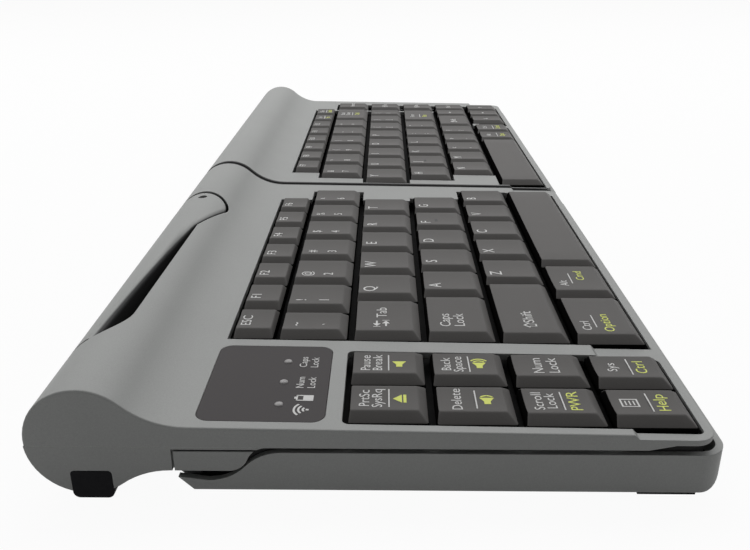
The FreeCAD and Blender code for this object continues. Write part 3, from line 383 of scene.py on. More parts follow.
class Finish:
    """A node tree under construction, of a material or of the world."""

    def __init__(self, owner):
        self.owner = owner
        owner.use_nodes = True
        self.tree = owner.node_tree
        self.tree.nodes.clear()

    def node(self, kind, settings, inputs, output=0):
        """Add a node of a kind, apply its settings, then set or link its sockets; gives one output."""
        made = self.tree.nodes.new("ShaderNode" + kind)
        for name, value in settings.items():
            setattr(made, name, value)
        for name, value in inputs.items():
            if isinstance(value, Field):
                self.tree.links.new(value.socket, made.inputs[name])
            else:
                made.inputs[name].default_value = value
        return Field(self, made.outputs[output]) if made.outputs else None

    def place(self):
        """Object coordinates, in metres."""
        return self.node("TexCoord", {}, {}, "Object")

    def axes(self):
        """Object coordinates as three values."""
        place = {"Vector": self.place()}
        return [self.node("SeparateXYZ", {}, place, axis) for axis in "XYZ"]

    def noise(self, scale, detail):
        """Cloudy noise from 0 to 1, with a number of cells to the metre."""
        inputs = {"Vector": self.place(), "Scale": scale, "Detail": detail}
        return self.node("TexNoise", {}, inputs, "Fac")

    def shaded(self, colour, factor):
        """The colour made lighter or darker by a value that varies over the surface."""
        return self.node("VectorMath", {"operation": "SCALE"}, {0: tuple(colour), "Scale": factor}, "Vector")

    def blend(self, share, first, second):
        """The first colour where share is 0, the second where it is 1.

        A Mix node has sockets for each kind of data: 6 and 7 take the colours and 2 gives one."""
        return self.node("Mix", {"data_type": "RGBA"}, {0: share, 6: first, 7: second}, 2)

    def bump(self, height, distance, strength, normal=None):
        """Normals of a fine relief, on top of other normals where they are given."""
        inputs = {"Height": height, "Distance": distance, "Strength": strength}
        if normal:
            inputs["Normal"] = normal
        return self.node("Bump", {}, inputs, "Normal")

    def soft_edges(self, radius):
        """Normals that turn softly over an edge, as a moulded edge does."""
        return self.node("Bevel", {"samples": 6}, {"Radius": radius}, "Normal")

    def edges(self, soft):
        """1 on an edge and 0 on a flat face, by how far the softened normal turns from the face's own."""
        flat = self.node("NewGeometry", {}, {}, "True Normal")
        turn = self.node("VectorMath", {"operation": "DOT_PRODUCT"}, {0: flat, 1: soft}, "Value")
        return (1.0 - turn).ramp(0.02, 0.25)

    def end(self, **inputs):
        """Close the tree with one surface shader; spaces in socket names are written as underscores."""
        sockets = {name.replace("_", " "): value for name, value in inputs.items()}
        shader = self.node("BsdfPrincipled", {}, sockets)
        self.node("OutputMaterial", {}, {"Surface": shader})
        return self.owner


def new_finish(name):
    """The empty node tree of a new material."""
    return Finish(bpy.data.materials.new(name))


def silver_paint(name, colours, coated):
    """Satin silver paint with fine flakes and a painted highlight on its edges, black painted shade where it
    stops; coated gives the share of paint at a place.
    """
    paint = new_finish(name)
    flakes = paint.noise(FLAKES, 1.0)
    cloud = paint.noise(CLOUDS, 2.0)
    tone = 0.84 + flakes * 0.24 + cloud * 0.08
    soft = paint.soft_edges(PAINT_EDGE)
    cover = coated(*paint.axes())
    # Painted shade: black wherever the silver stops, in wells, recesses, gaps and along the split
    shade_and_ink_black = paint.shaded(colours.shade_and_ink_black, 0.8 + flakes * 0.4)
    # Painted highlight: the silver is made lighter on its edges
    silver = paint.shaded(colours.silver, tone * (1.0 + paint.edges(soft) * EDGE_PAINTED_HIGHLIGHT))
    colour = paint.blend(cover, shade_and_ink_black, silver)
    relief = paint.bump(flakes, 0.05 * MM, 0.25, soft)
    return paint.end(Base_Color=colour, Metallic=cover * 0.1, Roughness=0.55 - cover * 0.07 + flakes * 0.1,
                     Specular_IOR_Level=0.4, Normal=relief)


def outline_distance(x, y, front, corner):
    """Distance out from the straight inner lines of a plan with round front corners of a radius."""
    beside = (abs(x) - (CASE_END_X - corner)).over(0.0)
    ahead = (front + corner - y).over(0.0)
    return (beside ** 2 + ahead ** 2) ** 0.5


def wall_skin(x, y):
    """Paint on the upright outer wall of a case."""
    out = outline_distance(x, y, CASE_FRONT_Y, CASE_CORNER)
    return out.ramp(CASE_CORNER - WALL_PAINT[0], CASE_CORNER - WALL_PAINT[1])


def tube_skin(y, z):
    """Paint on the round of the tube."""
    out = ((y - TUBE_Y) ** 2 + (z - TUBE_Z) ** 2) ** 0.5
    return out.ramp(TUBE_RADIUS - TUBE_PAINT[0], TUBE_RADIUS - TUBE_PAINT[1])


def off_seam(x):
    """Painted shade along the split: no silver on the faces that meet there nor on a strip beside them."""
    return abs(x).ramp(SEAM_X + SEAM_PAINTED_SHADE[0], SEAM_X + SEAM_PAINTED_SHADE[1])


def case_skin(x, y, z):
    """Paint on the outside of a top case: its wall, the deck and the tube, short of the split; the rest is
    black painted shade.
    """
    deck = (z - y * DECK_SLOPE).ramp(DECK_Z - DECK_PAINT[0], DECK_Z - DECK_PAINT[1])
    behind = y.ramp(TUBE_FRONT_Y - REGION_FADE, TUBE_FRONT_Y + REGION_FADE)
    top = deck + (tube_skin(y, z) - deck) * behind
    return wall_skin(x, y).over(top) * off_seam(x)


def shoulder_skin(x, y, z):
    """Paint on the outside of a lower case: its end wall and the underside of the tube; the rest is black
    painted shade.
    """
    behind = y.ramp(SHOULDER_Y - REGION_FADE, SHOULDER_Y + REGION_FADE)
    return wall_skin(x, y).over(tube_skin(y, z) * behind) * off_seam(x)


def lid_skin(x, y, z):
    """Paint on the outside of a lid: walls with their rim, floor and inner end; inside it is black painted
    shade.
    """
    out = outline_distance(x, y, LID_FRONT_Y, LID_CORNER)
    wall = out.ramp(LID_CORNER - LID_WALL - LID_WALL_FADE, LID_CORNER - LID_WALL)
    floor = 1.0 - z.ramp(LID_FLOOR_Z - LID_FADE, LID_FLOOR_Z)
    inner = 1.0 - abs(x).ramp(LID_INNER_X, LID_INNER_X + LID_FADE)
    return wall.over(floor).over(inner)


def lever_skin(x, y, z):
    """Paint on the lever's top, with painted shade that darkens it towards the finger edge in front of the
    neck, where it curves away.
    """
    finger = (0.0 - x).ramp(LEVER_NECK_X, LEVER_NECK_X + LEVER_FINGER)
    painted_curve_shade = (1.0 - y.ramp(LEVER_EDGE_Y, LEVER_EDGE_Y + LEVER_PAINTED_SHADE)) * finger
    return tube_skin(y, z) * (1.0 - painted_curve_shade)


def door_skin(_x, y, z):
    """Paint on the battery door, which is a piece of the tube's round."""
    return tube_skin(y, z)


def cap_plastic(name, colours, share, sheen):
    """Dark moulded plastic with a fine pebble, in a share of its full colour; a share below 1 is painted
    shade.
    """
    plastic = new_finish(name)
    pebble = plastic.noise(2600.0, 1.5)
    worn = plastic.noise(140.0, 2.0)
    relief = plastic.bump(pebble, 0.06 * MM, 0.3)
    tone = (0.9 + pebble * 0.12 + worn * 0.08) * share
    return plastic.end(Base_Color=plastic.shaded(colours.cap, tone), Roughness=0.5 + pebble * 0.14,
                       Specular_IOR_Level=sheen, Normal=relief)


def ink(name, colour):
    """Printed ink, a little uneven."""
    layer = new_finish(name)
    grain = layer.noise(1500.0, 2.0)
    return layer.end(Base_Color=layer.shaded(colour, 0.9 + grain * 0.15), Roughness=0.5 + grain * 0.1)


def plate_film(colours):
    """Smooth dark film with a faint grain."""
    film = new_finish("plate_film")
    grain = film.noise(2400.0, 1.5)
    relief = film.bump(grain, 0.03 * MM, 0.2)
    return film.end(Base_Color=film.shaded(colours.plate, 0.92 + grain * 0.14), Roughness=0.6 + grain * 0.1,
                    Specular_IOR_Level=0.1, Normal=relief)


def rubber(colours):
    """Matt black rubber."""
    soft = new_finish("foot_rubber")
    grain = soft.noise(1800.0, 3.0)
    relief = soft.bump(grain, 0.08 * MM, 0.4, soft.soft_edges(0.5 * MM))
    return soft.end(Base_Color=soft.shaded(colours.rubber, 0.8 + grain * 0.4), Roughness=0.62 + grain * 0.2,
                    Specular_IOR_Level=0.1, Normal=relief)


def painted_shade_sheet():
    """Sheet under the keys, black as painted shade in the gaps between the caps."""
    sheet = new_finish("painted_shade_sheet")
    grain = sheet.noise(900.0, 2.0)
    return sheet.end(Base_Color=sheet.shaded(SHEET_SHADE_BLACK, 0.8 + grain * 0.4),
                     Roughness=0.6 + grain * 0.2, Specular_IOR_Level=0.1)


def brushed(name, colour, along):
    """Metal drawn along one axis: the noise is stretched that way."""
    metal = new_finish(name)
    stretch = [1.0 if axis == along else 30.0 for axis in range(3)]
    place = metal.node("Mapping", {}, {"Vector": metal.place(), "Scale": stretch}, "Vector")
    lines = metal.node("TexNoise", {}, {"Vector": place, "Scale": 120.0, "Detail": 2.0}, "Fac")
    return metal.end(Base_Color=metal.shaded(colour, 0.85 + lines * 0.3), Metallic=1.0,
                     Roughness=0.28 + lines * 0.16)


def board_mask():
    """Green solder mask with lighter tracks below it."""
    mask = new_finish("board_mask")
    tracks = mask.node("TexWave", {"bands_direction": "Y"}, {"Vector": mask.place(), "Scale": 220.0}, "Fac")
    tone = 0.8 + tracks.ramp(0.55, 0.65) * 0.5
    return mask.end(Base_Color=mask.shaded(BOARD_GREEN, tone), Roughness=0.3)


def cell_wrap():
    """Dark printed wrap of the dry cells."""
    wrap = new_finish("cell_wrap")
    grain = wrap.noise(500.0, 2.0)
    return wrap.end(Base_Color=wrap.shaded(CELL_BLUE, 0.85 + grain * 0.3), Metallic=0.4,
                    Roughness=0.3)


def lamp_lens():
    """Pale frosted lamp lens."""
    lens = new_finish("lamp_lens")
    grain = lens.noise(1200.0, 1.0)
    return lens.end(Base_Color=lens.shaded(LENS_GREY, 0.9 + grain * 0.2), Roughness=0.4)


def dress(nodes, material):
    """Give the carried-over nodes a material."""
    for name in nodes:
        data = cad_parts[name].data
        data.materials.clear()
        data.materials.append(material)


def new_piece(name, points, faces, materials, tones, body):
    """A mesh object at the origin that rides on a body; tones picks each face's material."""
    mesh = bpy.data.meshes.new(name)
    mesh.from_pydata(points.tolist(), [], faces)
    for material in materials:
        mesh.materials.append(material)
    mesh.polygons.foreach_set("material_index", np.asarray(tones, np.int32))
    mesh.polygons.foreach_set("use_smooth", np.ones(len(faces), bool))
    mesh.update()
    piece = bpy.data.objects.new(name, mesh)
    bpy.context.scene.collection.objects.link(piece)
    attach(piece, body)
    return piece


def runs(low, high):
    """Label each interval by the run of overlapping intervals that it belongs to.

    Sorted by their starts, a new run begins where an interval starts past all earlier ends."""
    order = np.argsort(low)
    reach = np.maximum.accumulate(high[order])
    fresh = np.concatenate([[True], low[order][1:] > reach[:-1] + 0.1 * MM])
    labels = np.empty(len(low), int)
    labels[order] = np.cumsum(fresh) - 1
    return labels


def cap_boxes(node):
    """Box of each cap in a CAD node, rows from the rear and each row from the left."""
    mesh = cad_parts[node].data
    points = np.empty(len(mesh.vertices) * 3)
    mesh.vertices.foreach_get("co", points)
    corners = np.empty(len(mesh.loop_triangles) * 3, int)
    mesh.loop_triangles.foreach_get("vertices", corners)
    triangles = points.reshape(-1, 3)[corners.reshape(-1, 3)]
    low = triangles.min(1)
    high = triangles.max(1)
    rows = runs(low[:, 1], high[:, 1])
    boxes = []
    for row in range(rows.max(), -1, -1):
        inside = rows == row
        columns = runs(low[inside, 0], high[inside, 0])
        for column in range(columns.max() + 1):
            part = columns == column
            boxes.append((low[inside][part].min(0), high[inside][part].max(0)))
    return boxes


def rim(corner_steps, side_steps):
    """Unit outline of a rounded rectangle as (corner x, corner y, arc x, arc y), anticlockwise.

    A point is its corner's centre plus the radius times its arc direction; along a side the corner
    value runs from one corner to the next while the direction stays."""
    outline = []
    corners = np.array([(1, 1), (-1, 1), (-1, -1), (1, -1)], float)
    for turn, corner in enumerate(corners):
        angle = (turn + np.linspace(0, 1, corner_steps + 1)) * math.pi / 2
        arc = np.column_stack([np.cos(angle), np.sin(angle)])
        outline.append(np.hstack([np.broadcast_to(corner, arc.shape), arc]))
        share = np.linspace(0, 1, side_steps + 1)[1:-1, None]
        side = corner + (corners[(turn + 1) % 4] - corner) * share
        outline.append(np.hstack([side, np.broadcast_to(arc[-1], side.shape)]))
    return np.vstack(outline).T


def bend(start, corner, end, steps):
    """Points of a quadratic curve from start to end that is drawn towards a corner."""
    share = np.linspace(0, 1, steps)[:, None]
    return ((1 - share) ** 2 * np.array(start) + 2 * share * (1 - share) * np.array(corner)
            + share ** 2 * np.array(end))


class Cap:
    """Outer form of one keycap, worked out from its CAD box."""

    def __init__(self, box, sizes):
        setback = np.array([0, sizes.setback, 0])
        self.low = box[0] + setback
        self.high = box[1] - setback
        self.sizes = sizes
        width, depth = (self.high - self.low)[:2]
        front = sizes.function_slope if depth < SHORT_CAP * sizes.cap_depth else sizes.front_slope
        self.inset_low = np.array([sizes.side_slope, front])
        self.inset_high = np.array([sizes.side_slope, sizes.rear_slope])
        self.top_low = self.low[:2] + self.inset_low
        self.top_high = self.high[:2] - self.inset_high
        self.dish = sizes.wide_dish if width > WIDE_CAP * sizes.cap_depth else sizes.dish

    def profile(self):
        """Rows of (share of the slope, extra inset, height) from the skirt up to the top's edge."""
        sizes = self.sizes
        soft = sizes.edge_round
        rise = soft / sizes.slope_height
        brim = self.high[2] - sizes.slope_height
        top = self.high[2]
        skirt = np.array([[0, 0, sizes.skirt]])
        shoulder = bend([0, 0, brim - soft], [0, 0, brim], [rise, 0, brim + soft], 4)
        edge = bend([1 - rise, 0, top - soft], [1, 0, top], [1, soft, top], 5)
        return np.vstack([skirt, shoulder, edge])

    def level(self, plan):
        """Height of the dished top: lowest in the middle, full height at the left and right edges."""
        middle = (self.top_low[0] + self.top_high[0]) / 2
        across = (plan[..., 0] - middle) / (self.top_high[0] - self.top_low[0]) * 2
        return self.high[2] - self.dish * (1 - np.clip(across, -1, 1) ** 2)

    def surface(self):
        """Rings of a rounded rectangle that follow the profile, shrink over the top and close in a point.

        Every ring's height drops by the dish times its share of the slope."""
        share, extra, height = self.profile().T
        low = self.low[:2] + share[:, None] * self.inset_low + extra[:, None]
        high = self.high[:2] - share[:, None] * self.inset_high - extra[:, None]
        half = (high - low) / 2
        centre = (low + high) / 2
        closing = len(TOP_SHARES)
        half = np.vstack([half, half[-1] * TOP_SHARES[:, None]])
        centre = np.vstack([centre, np.tile(centre[-1], (closing, 1))])
        height = np.concatenate([height, np.full(closing, self.high[2])])
        share = np.concatenate([share, np.ones(closing)])
        radius = self.sizes.corner_round * np.concatenate([np.ones(len(low)), TOP_SHARES])[:, None]
        outline = rim(CORNER_STEPS, SIDE_STEPS).T
        plan = centre[:, None] + (half - radius)[:, None] * outline[:, :2] + radius[:, None] * outline[:, 2:]
        sink = (self.level(plan) - self.high[2]) * share[:, None]
        return np.dstack([plan, height[:, None] + sink])

    def tones(self):
        """Material of each face, in the order of ring_faces: 1, the painted shade, on the skirt and down the
        rear, 0 above.
        """
        backward = rim(CORNER_STEPS, SIDE_STEPS)[3]
        rear = (backward + np.roll(backward, -1)) / 2 > REAR_FACING
        row = np.arange(len(self.profile()) + len(TOP_SHARES) - 1)[:, None]
        shaded = (row < SKIRT_ROWS) | (rear & (row < REAR_ROWS))
        return shaded.astype(int).ravel().tolist() + [1, 0]


def dome(box, rise):
    """A round rod with a low dome on its end.

    Past the rim the radius falls with the cosine of a quarter turn while the height climbs with its sine."""
    low, high = box
    turn = np.linspace(0, DOME_CLOSE, DOME_STEPS) * math.pi / 2
    radius = (high[0] - low[0]) / 2 * np.concatenate([[1.0], np.cos(turn)])
    level = np.concatenate([[low[2]], high[2] + rise * np.sin(turn)])
    angle = np.linspace(0, 2 * math.pi, DOME_SIDES + 1)[:-1]
    middle = (low + high) / 2
    x = middle[0] + radius[:, None] * np.cos(angle)
    y = middle[1] + radius[:, None] * np.sin(angle)
    return np.stack([x, y, np.broadcast_to(level[:, None], x.shape)], 2)


def ring_faces(rings, around):
    """Quads between neighbouring rings, a floor under the first and a lid on the last."""
    row, column = np.mgrid[0:rings - 1, 0:around]
    after = (column + 1) % around
    quads = np.stack([row * around + column, row * around + after,
                      (row + 1) * around + after, (row + 1) * around + column], 2).reshape(-1, 4)
    floor = np.arange(around)[::-1].tolist()
    lid = (np.arange(around) + (rings - 1) * around).tolist()
    return quads.tolist() + [floor, lid]


def gathered(shapes):
    """Several shapes of points and faces as one: each face's indices move past the points before it."""
    points = [shape[0] for shape in shapes]
    starts = itertools.accumulate(map(len, points), initial=0)
    faces = [[index + start for index in face] for start, shape in zip(starts, shapes) for face in shape[1]]
    return np.vstack(points), faces


def ringed(name, surfaces, tones, materials, body):
    """One piece from several surfaces of closed rings; tones picks each face's material."""
    shapes = [(rings.reshape(-1, 3), ring_faces(*rings.shape[:2])) for rings in surfaces]
    points, faces = gathered(shapes)
    return new_piece(name, points, faces, materials, tones or [0] * len(faces), body)


def text_shape(sign, height, thickness):
    """A word as a closed mesh of the font's outlines, centred, with capitals of the stated height."""
    curve = bpy.data.curves.new("sign", "FONT")
    curve.body = sign
    curve.size = height / CAPITALS
    curve.align_x = "CENTER"
    curve.extrude = thickness / 2
    curve.resolution_u = 3
    holder = bpy.data.objects.new("sign", curve)
    bpy.context.scene.collection.objects.link(holder)
    graph = bpy.context.evaluated_depsgraph_get()
    mesh = bpy.data.meshes.new_from_object(holder.evaluated_get(graph))
    points = np.empty(len(mesh.vertices) * 3)
    mesh.vertices.foreach_get("co", points)
    faces = [list(polygon.vertices) for polygon in mesh.polygons]
    bpy.data.objects.remove(holder)
    bpy.data.curves.remove(curve)
    bpy.data.meshes.remove(mesh)
    points = points.reshape(-1, 3)
    points[:, 1] -= height / 2
    return points, faces


def anticlockwise(outline):
    """The outline turned round where its area comes out negative."""
    outline = np.asarray(outline, float)
    after = np.roll(outline, -1, 0)
    area = (outline[:, 0] * after[:, 1] - outline[:, 1] * after[:, 0]).sum()
    return outline if area > 0 else outline[::-1]


def slab(outline, thickness):
    """A convex outline as a closed slab about the zero plane."""
    count = len(outline)
    low = np.column_stack([outline, np.full(count, -thickness / 2)])
    high = np.column_stack([outline, np.full(count, thickness / 2)])
    index = np.arange(count)
    after = (index + 1) % count
    sides = np.column_stack([index, after, after + count, index + count]).tolist()
    return np.vstack([low, high]), sides + [index[::-1].tolist(), (index + count).tolist()]


def band(radius, width, start, end):
    """Quads along an arc about the origin, as convex outlines."""
    angle = np.linspace(start, end, ARC_POINTS)
    inner = np.column_stack([np.cos(angle), np.sin(angle)]) * (radius - width / 2)
    outer = np.column_stack([np.cos(angle), np.sin(angle)]) * (radius + width / 2)
    return [[outer[step], outer[step + 1], inner[step + 1], inner[step]] for step in range(len(angle) - 1)]


def bar(x, y):
    """Rectangle between two values each way."""
    return [(x[0], y[0]), (x[1], y[0]), (x[1], y[1]), (x[0], y[1])]


def arrow(direction):
    """Shaft and head that point along a direction, in a unit square."""
    along = np.array(direction, float)
    across = np.array([-along[1], along[0]])
    shaft = [-along * 0.5 - across * 0.07, -along * 0.5 + across * 0.07, across * 0.07 + along * 0.1,
             -across * 0.07 + along * 0.1]
    head = [along * 0.5, across * 0.3, -across * 0.3]
    return [shaft[::-1], head]


def speaker(waves):
    """Loudspeaker pointing right, with a number of sound waves."""
    shapes = [bar((-0.5, -0.15), (-0.22, 0.22)), [(-0.15, -0.22), (0.3, -0.5), (0.3, 0.5), (-0.15, 0.22)]]
    for wave in range(waves):
        shapes += band(0.55 + 0.24 * wave, 0.12, -0.8, 0.8)
    return shapes


def sheet_sign():
    """A page with lines, for the menu key."""
    frame_bars = [bar((-0.4, 0.4), (0.45, 0.55)), bar((-0.4, 0.4), (-0.55, -0.45)),
                  bar((-0.45, -0.37), (-0.55, 0.55)), bar((0.37, 0.45), (-0.55, 0.55))]
    return frame_bars + [bar((-0.25, 0.25), (level, level + 0.08)) for level in (-0.3, -0.05, 0.2)]


def tab_signs():
    """Two opposed arrows, each against a stop."""
    left = [np.asarray(shape) * 0.8 + (0.0, 0.28) for shape in arrow((-1, 0))]
    right = [np.asarray(shape) * 0.8 + (0.0, -0.28) for shape in arrow((1, 0))]
    return left + right + [bar((-0.5, -0.44), (0.06, 0.5)), bar((0.44, 0.5), (-0.5, -0.06))]


def hollow_arrow():
    """Outline of an upward arrow."""
    path = np.array([(0, 0.5), (0.42, 0.05), (0.2, 0.05), (0.2, -0.5), (-0.2, -0.5), (-0.2, 0.05),
                     (-0.42, 0.05)])
    inner = path * (0.72, 0.72) + (0, -0.02)
    count = len(path)
    after = (np.arange(count) + 1) % count
    return [[path[step], inner[step], inner[after[step]], path[after[step]]] for step in range(count)]


SIGNS = {
    "rule": [bar((-12.5, 12.5), (-0.5, 0.5))],
    "homing_bar": [bar((-1.4, 1.4), (-0.5, 0.5))],
    "eject": [[(-0.5, -0.1), (0.5, -0.1), (0, 0.5)], bar((-0.5, 0.5), (-0.4, -0.2))],
    "sound_off": speaker(0),
    "sound_low": speaker(1),
    "sound_high": speaker(2),
    "menu_sheet": sheet_sign(),
    "tab_arrows": tab_signs(),
    "shift_arrow": hollow_arrow(),
    "arrow_left": arrow((-1, 0)),
    "arrow_right": arrow((1, 0)),
    "arrow_up": arrow((0, 1)),
    "arrow_down": arrow((0, -1)),
    "wireless": [piece for step in range(3) for piece in band(0.25 + 0.25 * step, 0.12, 0.75, 2.4)]
    + [bar((-0.08, 0.08), (-0.08, 0.08))],
    "battery": [bar((-0.25, 0.25), (-0.6, 0.05)), bar((-0.34, -0.24), (-0.6, 0.5)),
                bar((0.24, 0.34), (-0.6, 0.5)), bar((-0.34, 0.34), (0.4, 0.5)),
                bar((-0.12, 0.12), (0.5, 0.62))],
}


def sign_shape(sign, height, thickness):
    """A drawn sign or a word as points and faces about the origin."""
    if sign not in SIGNS:
        return text_shape(sign, height, thickness)
    return gathered([slab(outline * height, thickness) for outline in map(anticlockwise, SIGNS[sign])])


def printing(name, marks, thickness, inks, body):
    """One piece from placed marks: each mark is (sign, height, ink, place, level of the surface)."""
    shapes = []
    tones = []
    for sign, height, tone, place, level in marks:
        points, sides = sign_shape(sign, height, thickness)
        points[:, :2] += place
        points[:, 2] += level(points[:, :2])
        shapes.append((points, sides))
        tones += [tone] * len(sides)
    points, faces = gathered(shapes)
    piece = new_piece(name, points, faces, inks, tones, body)
    piece.data.polygons.foreach_set("use_smooth", np.zeros(len(faces), bool))
    return piece


def plate_level(plan):
    """Height of the deck, and so of the plate's film, which rises to the rear."""
    return DECK_Z + DECK_SLOPE * plan[:, 1]


class KEYBOARD_OT_cases(Operator):
    """Give every carried-over case, lid, foot and inner piece its finish"""

    bl_idname = "keyboard.cases"
    bl_label = "Finish the cases"

    def execute(self, context):
        colours = context.scene.keyboard.colours
        skins = {"_top_case": case_skin, "_bottom_case": shoulder_skin, "_lid": lid_skin}
        for part, skin in skins.items():
            dress([half + part for half in HALVES], silver_paint("silver" + part, colours, skin))
        dress(["lock_lever"], silver_paint("silver_lever", colours, lever_skin))
        dress(["battery_door"], silver_paint("silver_door", colours, door_skin))
        dress(RUBBER_NODES, rubber(colours))
        dress(SHADE_SHEET_NODES, painted_shade_sheet())
        dress(STEEL_NODES, brushed("drawn_steel", STEEL, 0))
        dress(CAST_NODES, brushed("cast_alloy", ALLOY, 2))
        dress(BOARD_NODES, board_mask())
        dress(["battery_cells"], cell_wrap())
        dress(["indicator_plate"], plate_film(colours))
        return {"FINISHED"}


class KEYBOARD_OT_caps(Operator):
    """Make the dished keycaps of every key group"""

    bl_idname = "keyboard.caps"
    bl_label = "Make the keycaps"

    def execute(self, context):
        settings = context.scene.keyboard
        plastic = cap_plastic("cap_plastic", settings.colours, TOP_SHADE, TOP_SHEEN)
        # Painted shade: a dark copy of the cap plastic, without sheen, for the skirts and rear faces in the
        # gaps
        skirt = cap_plastic("cap_painted_shade", settings.colours, SKIRT_PAINTED_SHADE, SKIRT_SHEEN)
        for node in list(LEGENDS) + BLANK_CAPS:
            caps = [Cap(box, settings.sizes) for box in cap_boxes(node)]
            tones = [tone for cap in caps for tone in cap.tones()]
            surfaces = [cap.surface() for cap in caps]
            piece = ringed("cap_" + node, surfaces, tones, [plastic, skirt], node)
            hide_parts(node)
            dress([node], plastic)
        return {"FINISHED"}


class KEYBOARD_OT_indicators(Operator):
    """Make the lamp domes and print the indicator plate"""

    bl_idname = "keyboard.indicators"
    bl_label = "Make the indicators"

    def execute(self, context):
        settings = context.scene.keyboard
        lens = lamp_lens()
        surfaces = [dome(box, settings.sizes.lens_rise) for box in cap_boxes("indicator_lenses")]
        piece = ringed("lamp_domes", surfaces, None, [lens], "left_half")
        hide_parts("indicator_lenses")
        dress(["indicator_lenses"], lens)
        marks = [(sign, height * MM, WHITE, np.array([x, y]) * MM, plate_level)
                 for sign, x, y, height in PLATE_MARKS]
        inks = [ink("plate_ink", settings.colours.white)]
        printing("plate_print", marks, 2 * settings.sizes.ink, inks, "left_half")
        return {"FINISHED"}


class KEYBOARD_OT_legends(Operator):
    """Print the legends on the keycaps"""

    bl_idname = "keyboard.legends"
    bl_label = "Print the legends"

    def execute(self, context):
        settings = context.scene.keyboard
        colours = settings.colours
        inks = [ink("white_ink", colours.white), ink("lime_ink", colours.lime), ink("dark_ink", colours.shade_and_ink_black)]
        for node, legends in LEGENDS.items():
            marks = []
            for box, legend in zip(cap_boxes(node), legends):
                cap = Cap(box, settings.sizes)
                middle = (cap.top_low + cap.top_high) / 2
                span = cap.top_high - cap.top_low
                for sign, across, along, height, tone in legend:
                    place = middle + span * (across, along)
                    marks.append((sign, height * MM, tone, place, cap.level))
            printing("legend_" + node, marks, 2 * settings.sizes.ink, inks, node)
        return {"FINISHED"}


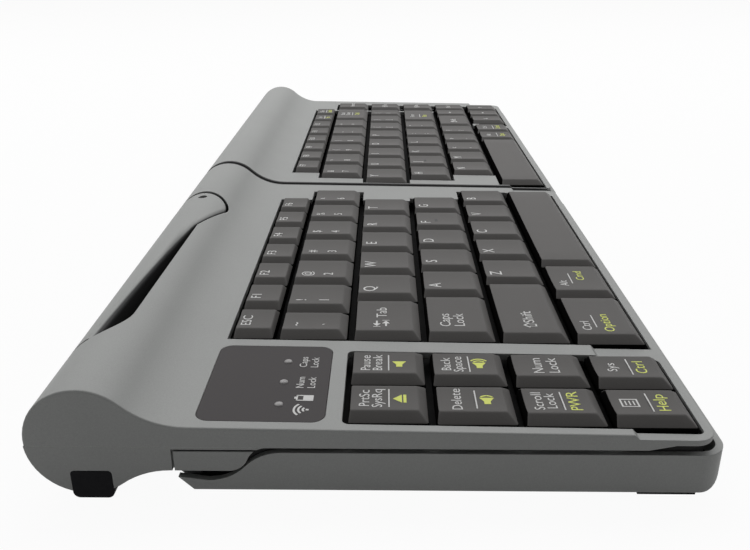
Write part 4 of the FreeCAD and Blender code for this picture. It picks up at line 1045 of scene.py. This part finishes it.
class KEYBOARD_OT_stage(Operator):
    """Set up the floor, the light and the camera"""

    bl_idname = "keyboard.stage"
    bl_label = "Set up the studio"

    def execute(self, context):
        studio = context.scene.keyboard.studio
        self.floor(context.scene)
        self.lamp(context.scene, studio.key_power)
        self.sky(context.scene, studio.sky)
        self.camera(context.scene, studio)
        context.scene.view_settings.view_transform = "Standard"
        return {"FINISHED"}

    def floor(self, scene):
        """A pale floor that keeps the shadow and looks white to the camera."""
        corners = [(x, y, 0) for x, y in bar((-FLOOR_REACH, FLOOR_REACH), (-FLOOR_REACH, FLOOR_REACH))]
        mesh = bpy.data.meshes.new("floor")
        mesh.from_pydata(corners, [], [(0, 1, 2, 3)])
        white = new_finish("floor_white")
        seen = seen_rays(white)
        matt = white.node("BsdfDiffuse", {}, {"Color": FLOOR_SHADE + seen * (FLOOR_SEEN - FLOOR_SHADE)})
        glow = white.node("Emission", {}, {"Color": (1, 1, 1, 1), "Strength": 1.0})
        mixed = white.node("MixShader", {}, {0: seen * FLOOR_GLOW, 1: matt, 2: glow})
        white.node("OutputMaterial", {}, {"Surface": mixed})
        mesh.materials.append(white.owner)
        plane = bpy.data.objects.new("floor", mesh)
        scene.collection.objects.link(plane)

    def lamp(self, scene, power):
        """A soft box that looks at the origin, wide across the keyboard and narrow along it."""
        light = bpy.data.lights.new("overhead", "AREA")
        light.energy = power
        light.shape = "RECTANGLE"
        light.size = LAMP_ACROSS
        light.size_y = LAMP_ALONG
        holder = bpy.data.objects.new("overhead", light)
        scene.collection.objects.link(holder)
        holder.matrix_world = Matrix.Translation(LAMP_PLACE) @ looking(-np.array(LAMP_PLACE)).to_4x4()

    def sky(self, scene, strength):
        """Even light from all round, with a white background where it is seen."""
        scene.world = bpy.data.worlds.new("studio")
        air = Finish(scene.world)
        level = strength + seen_rays(air) * (1.0 - strength)
        glow = air.node("Background", {}, {"Color": (1, 1, 1, 1), "Strength": level})
        air.node("OutputWorld", {}, {"Surface": glow})

    def camera(self, scene, studio):
        """The camera, placed and turned by the studio's settings."""
        data = bpy.data.cameras.new("camera")
        data.lens = studio.lens
        data.sensor_width = SENSOR_WIDTH
        data.clip_start = CLIP_START
        holder = bpy.data.objects.new("camera", data)
        scene.collection.objects.link(holder)
        level = math.cos(studio.pitch)
        ahead = np.array([level * math.cos(studio.heading), level * math.sin(studio.heading),
                          -math.sin(studio.pitch)])
        turn = Matrix.Rotation(-studio.roll, 3, ahead.tolist())
        holder.matrix_world = Matrix.Translation(studio.camera_place) @ (turn @ looking(ahead)).to_4x4()
        scene.camera = holder


def seen_rays(finish):
    """1 for rays from the camera and for mirrored and transmitted ones, 0 for the light on a surface."""
    camera, glossy, through = [finish.node("LightPath", {}, {}, f"Is {kind} Ray")
                               for kind in ("Camera", "Glossy", "Transmission")]
    return camera.over(glossy).over(through)


def looking(aim):
    """Rotation of a camera or lamp that looks along aim with its top upwards."""
    ahead = np.asarray(aim, float) / np.linalg.norm(aim)
    side = np.cross(ahead, (0, 0, 1))
    side /= np.linalg.norm(side)
    return Matrix(np.column_stack([side, np.cross(side, ahead), -ahead]).tolist())


class KEYBOARD_PT_panel(Panel):
    """Steps and settings of the keyboard"""

    bl_label = "Split keyboard"
    bl_idname = "KEYBOARD_PT_panel"
    bl_space_type = "VIEW_3D"
    bl_region_type = "UI"
    bl_category = "Keyboard"

    def draw(self, context):
        for step in STEPS:
            self.layout.operator(step.bl_idname)
        settings = context.scene.keyboard
        for group in (settings.sizes, settings.colours, settings.studio):
            box = self.layout.box()
            for name in group.__annotations__:
                box.prop(group, name)


STEPS = (KEYBOARD_OT_cases, KEYBOARD_OT_caps, KEYBOARD_OT_indicators, KEYBOARD_OT_legends, KEYBOARD_OT_stage)
CLASSES = (KeyboardSizes, KeyboardColours, StudioSettings, Keyboard, *STEPS, KEYBOARD_PT_panel)


def register():
    for item in CLASSES:
        bpy.utils.register_class(item)
    bpy.types.Scene.keyboard = PointerProperty(type=Keyboard)


def unregister():
    del bpy.types.Scene.keyboard
    for item in reversed(CLASSES):
        bpy.utils.unregister_class(item)


def main():
    """Build the keyboard and its studio."""
    register()
    bpy.ops.keyboard.cases()
    bpy.ops.keyboard.caps()
    bpy.ops.keyboard.indicators()
    bpy.ops.keyboard.legends()
    bpy.ops.keyboard.stage()


if __name__ == "__main__":
    main()
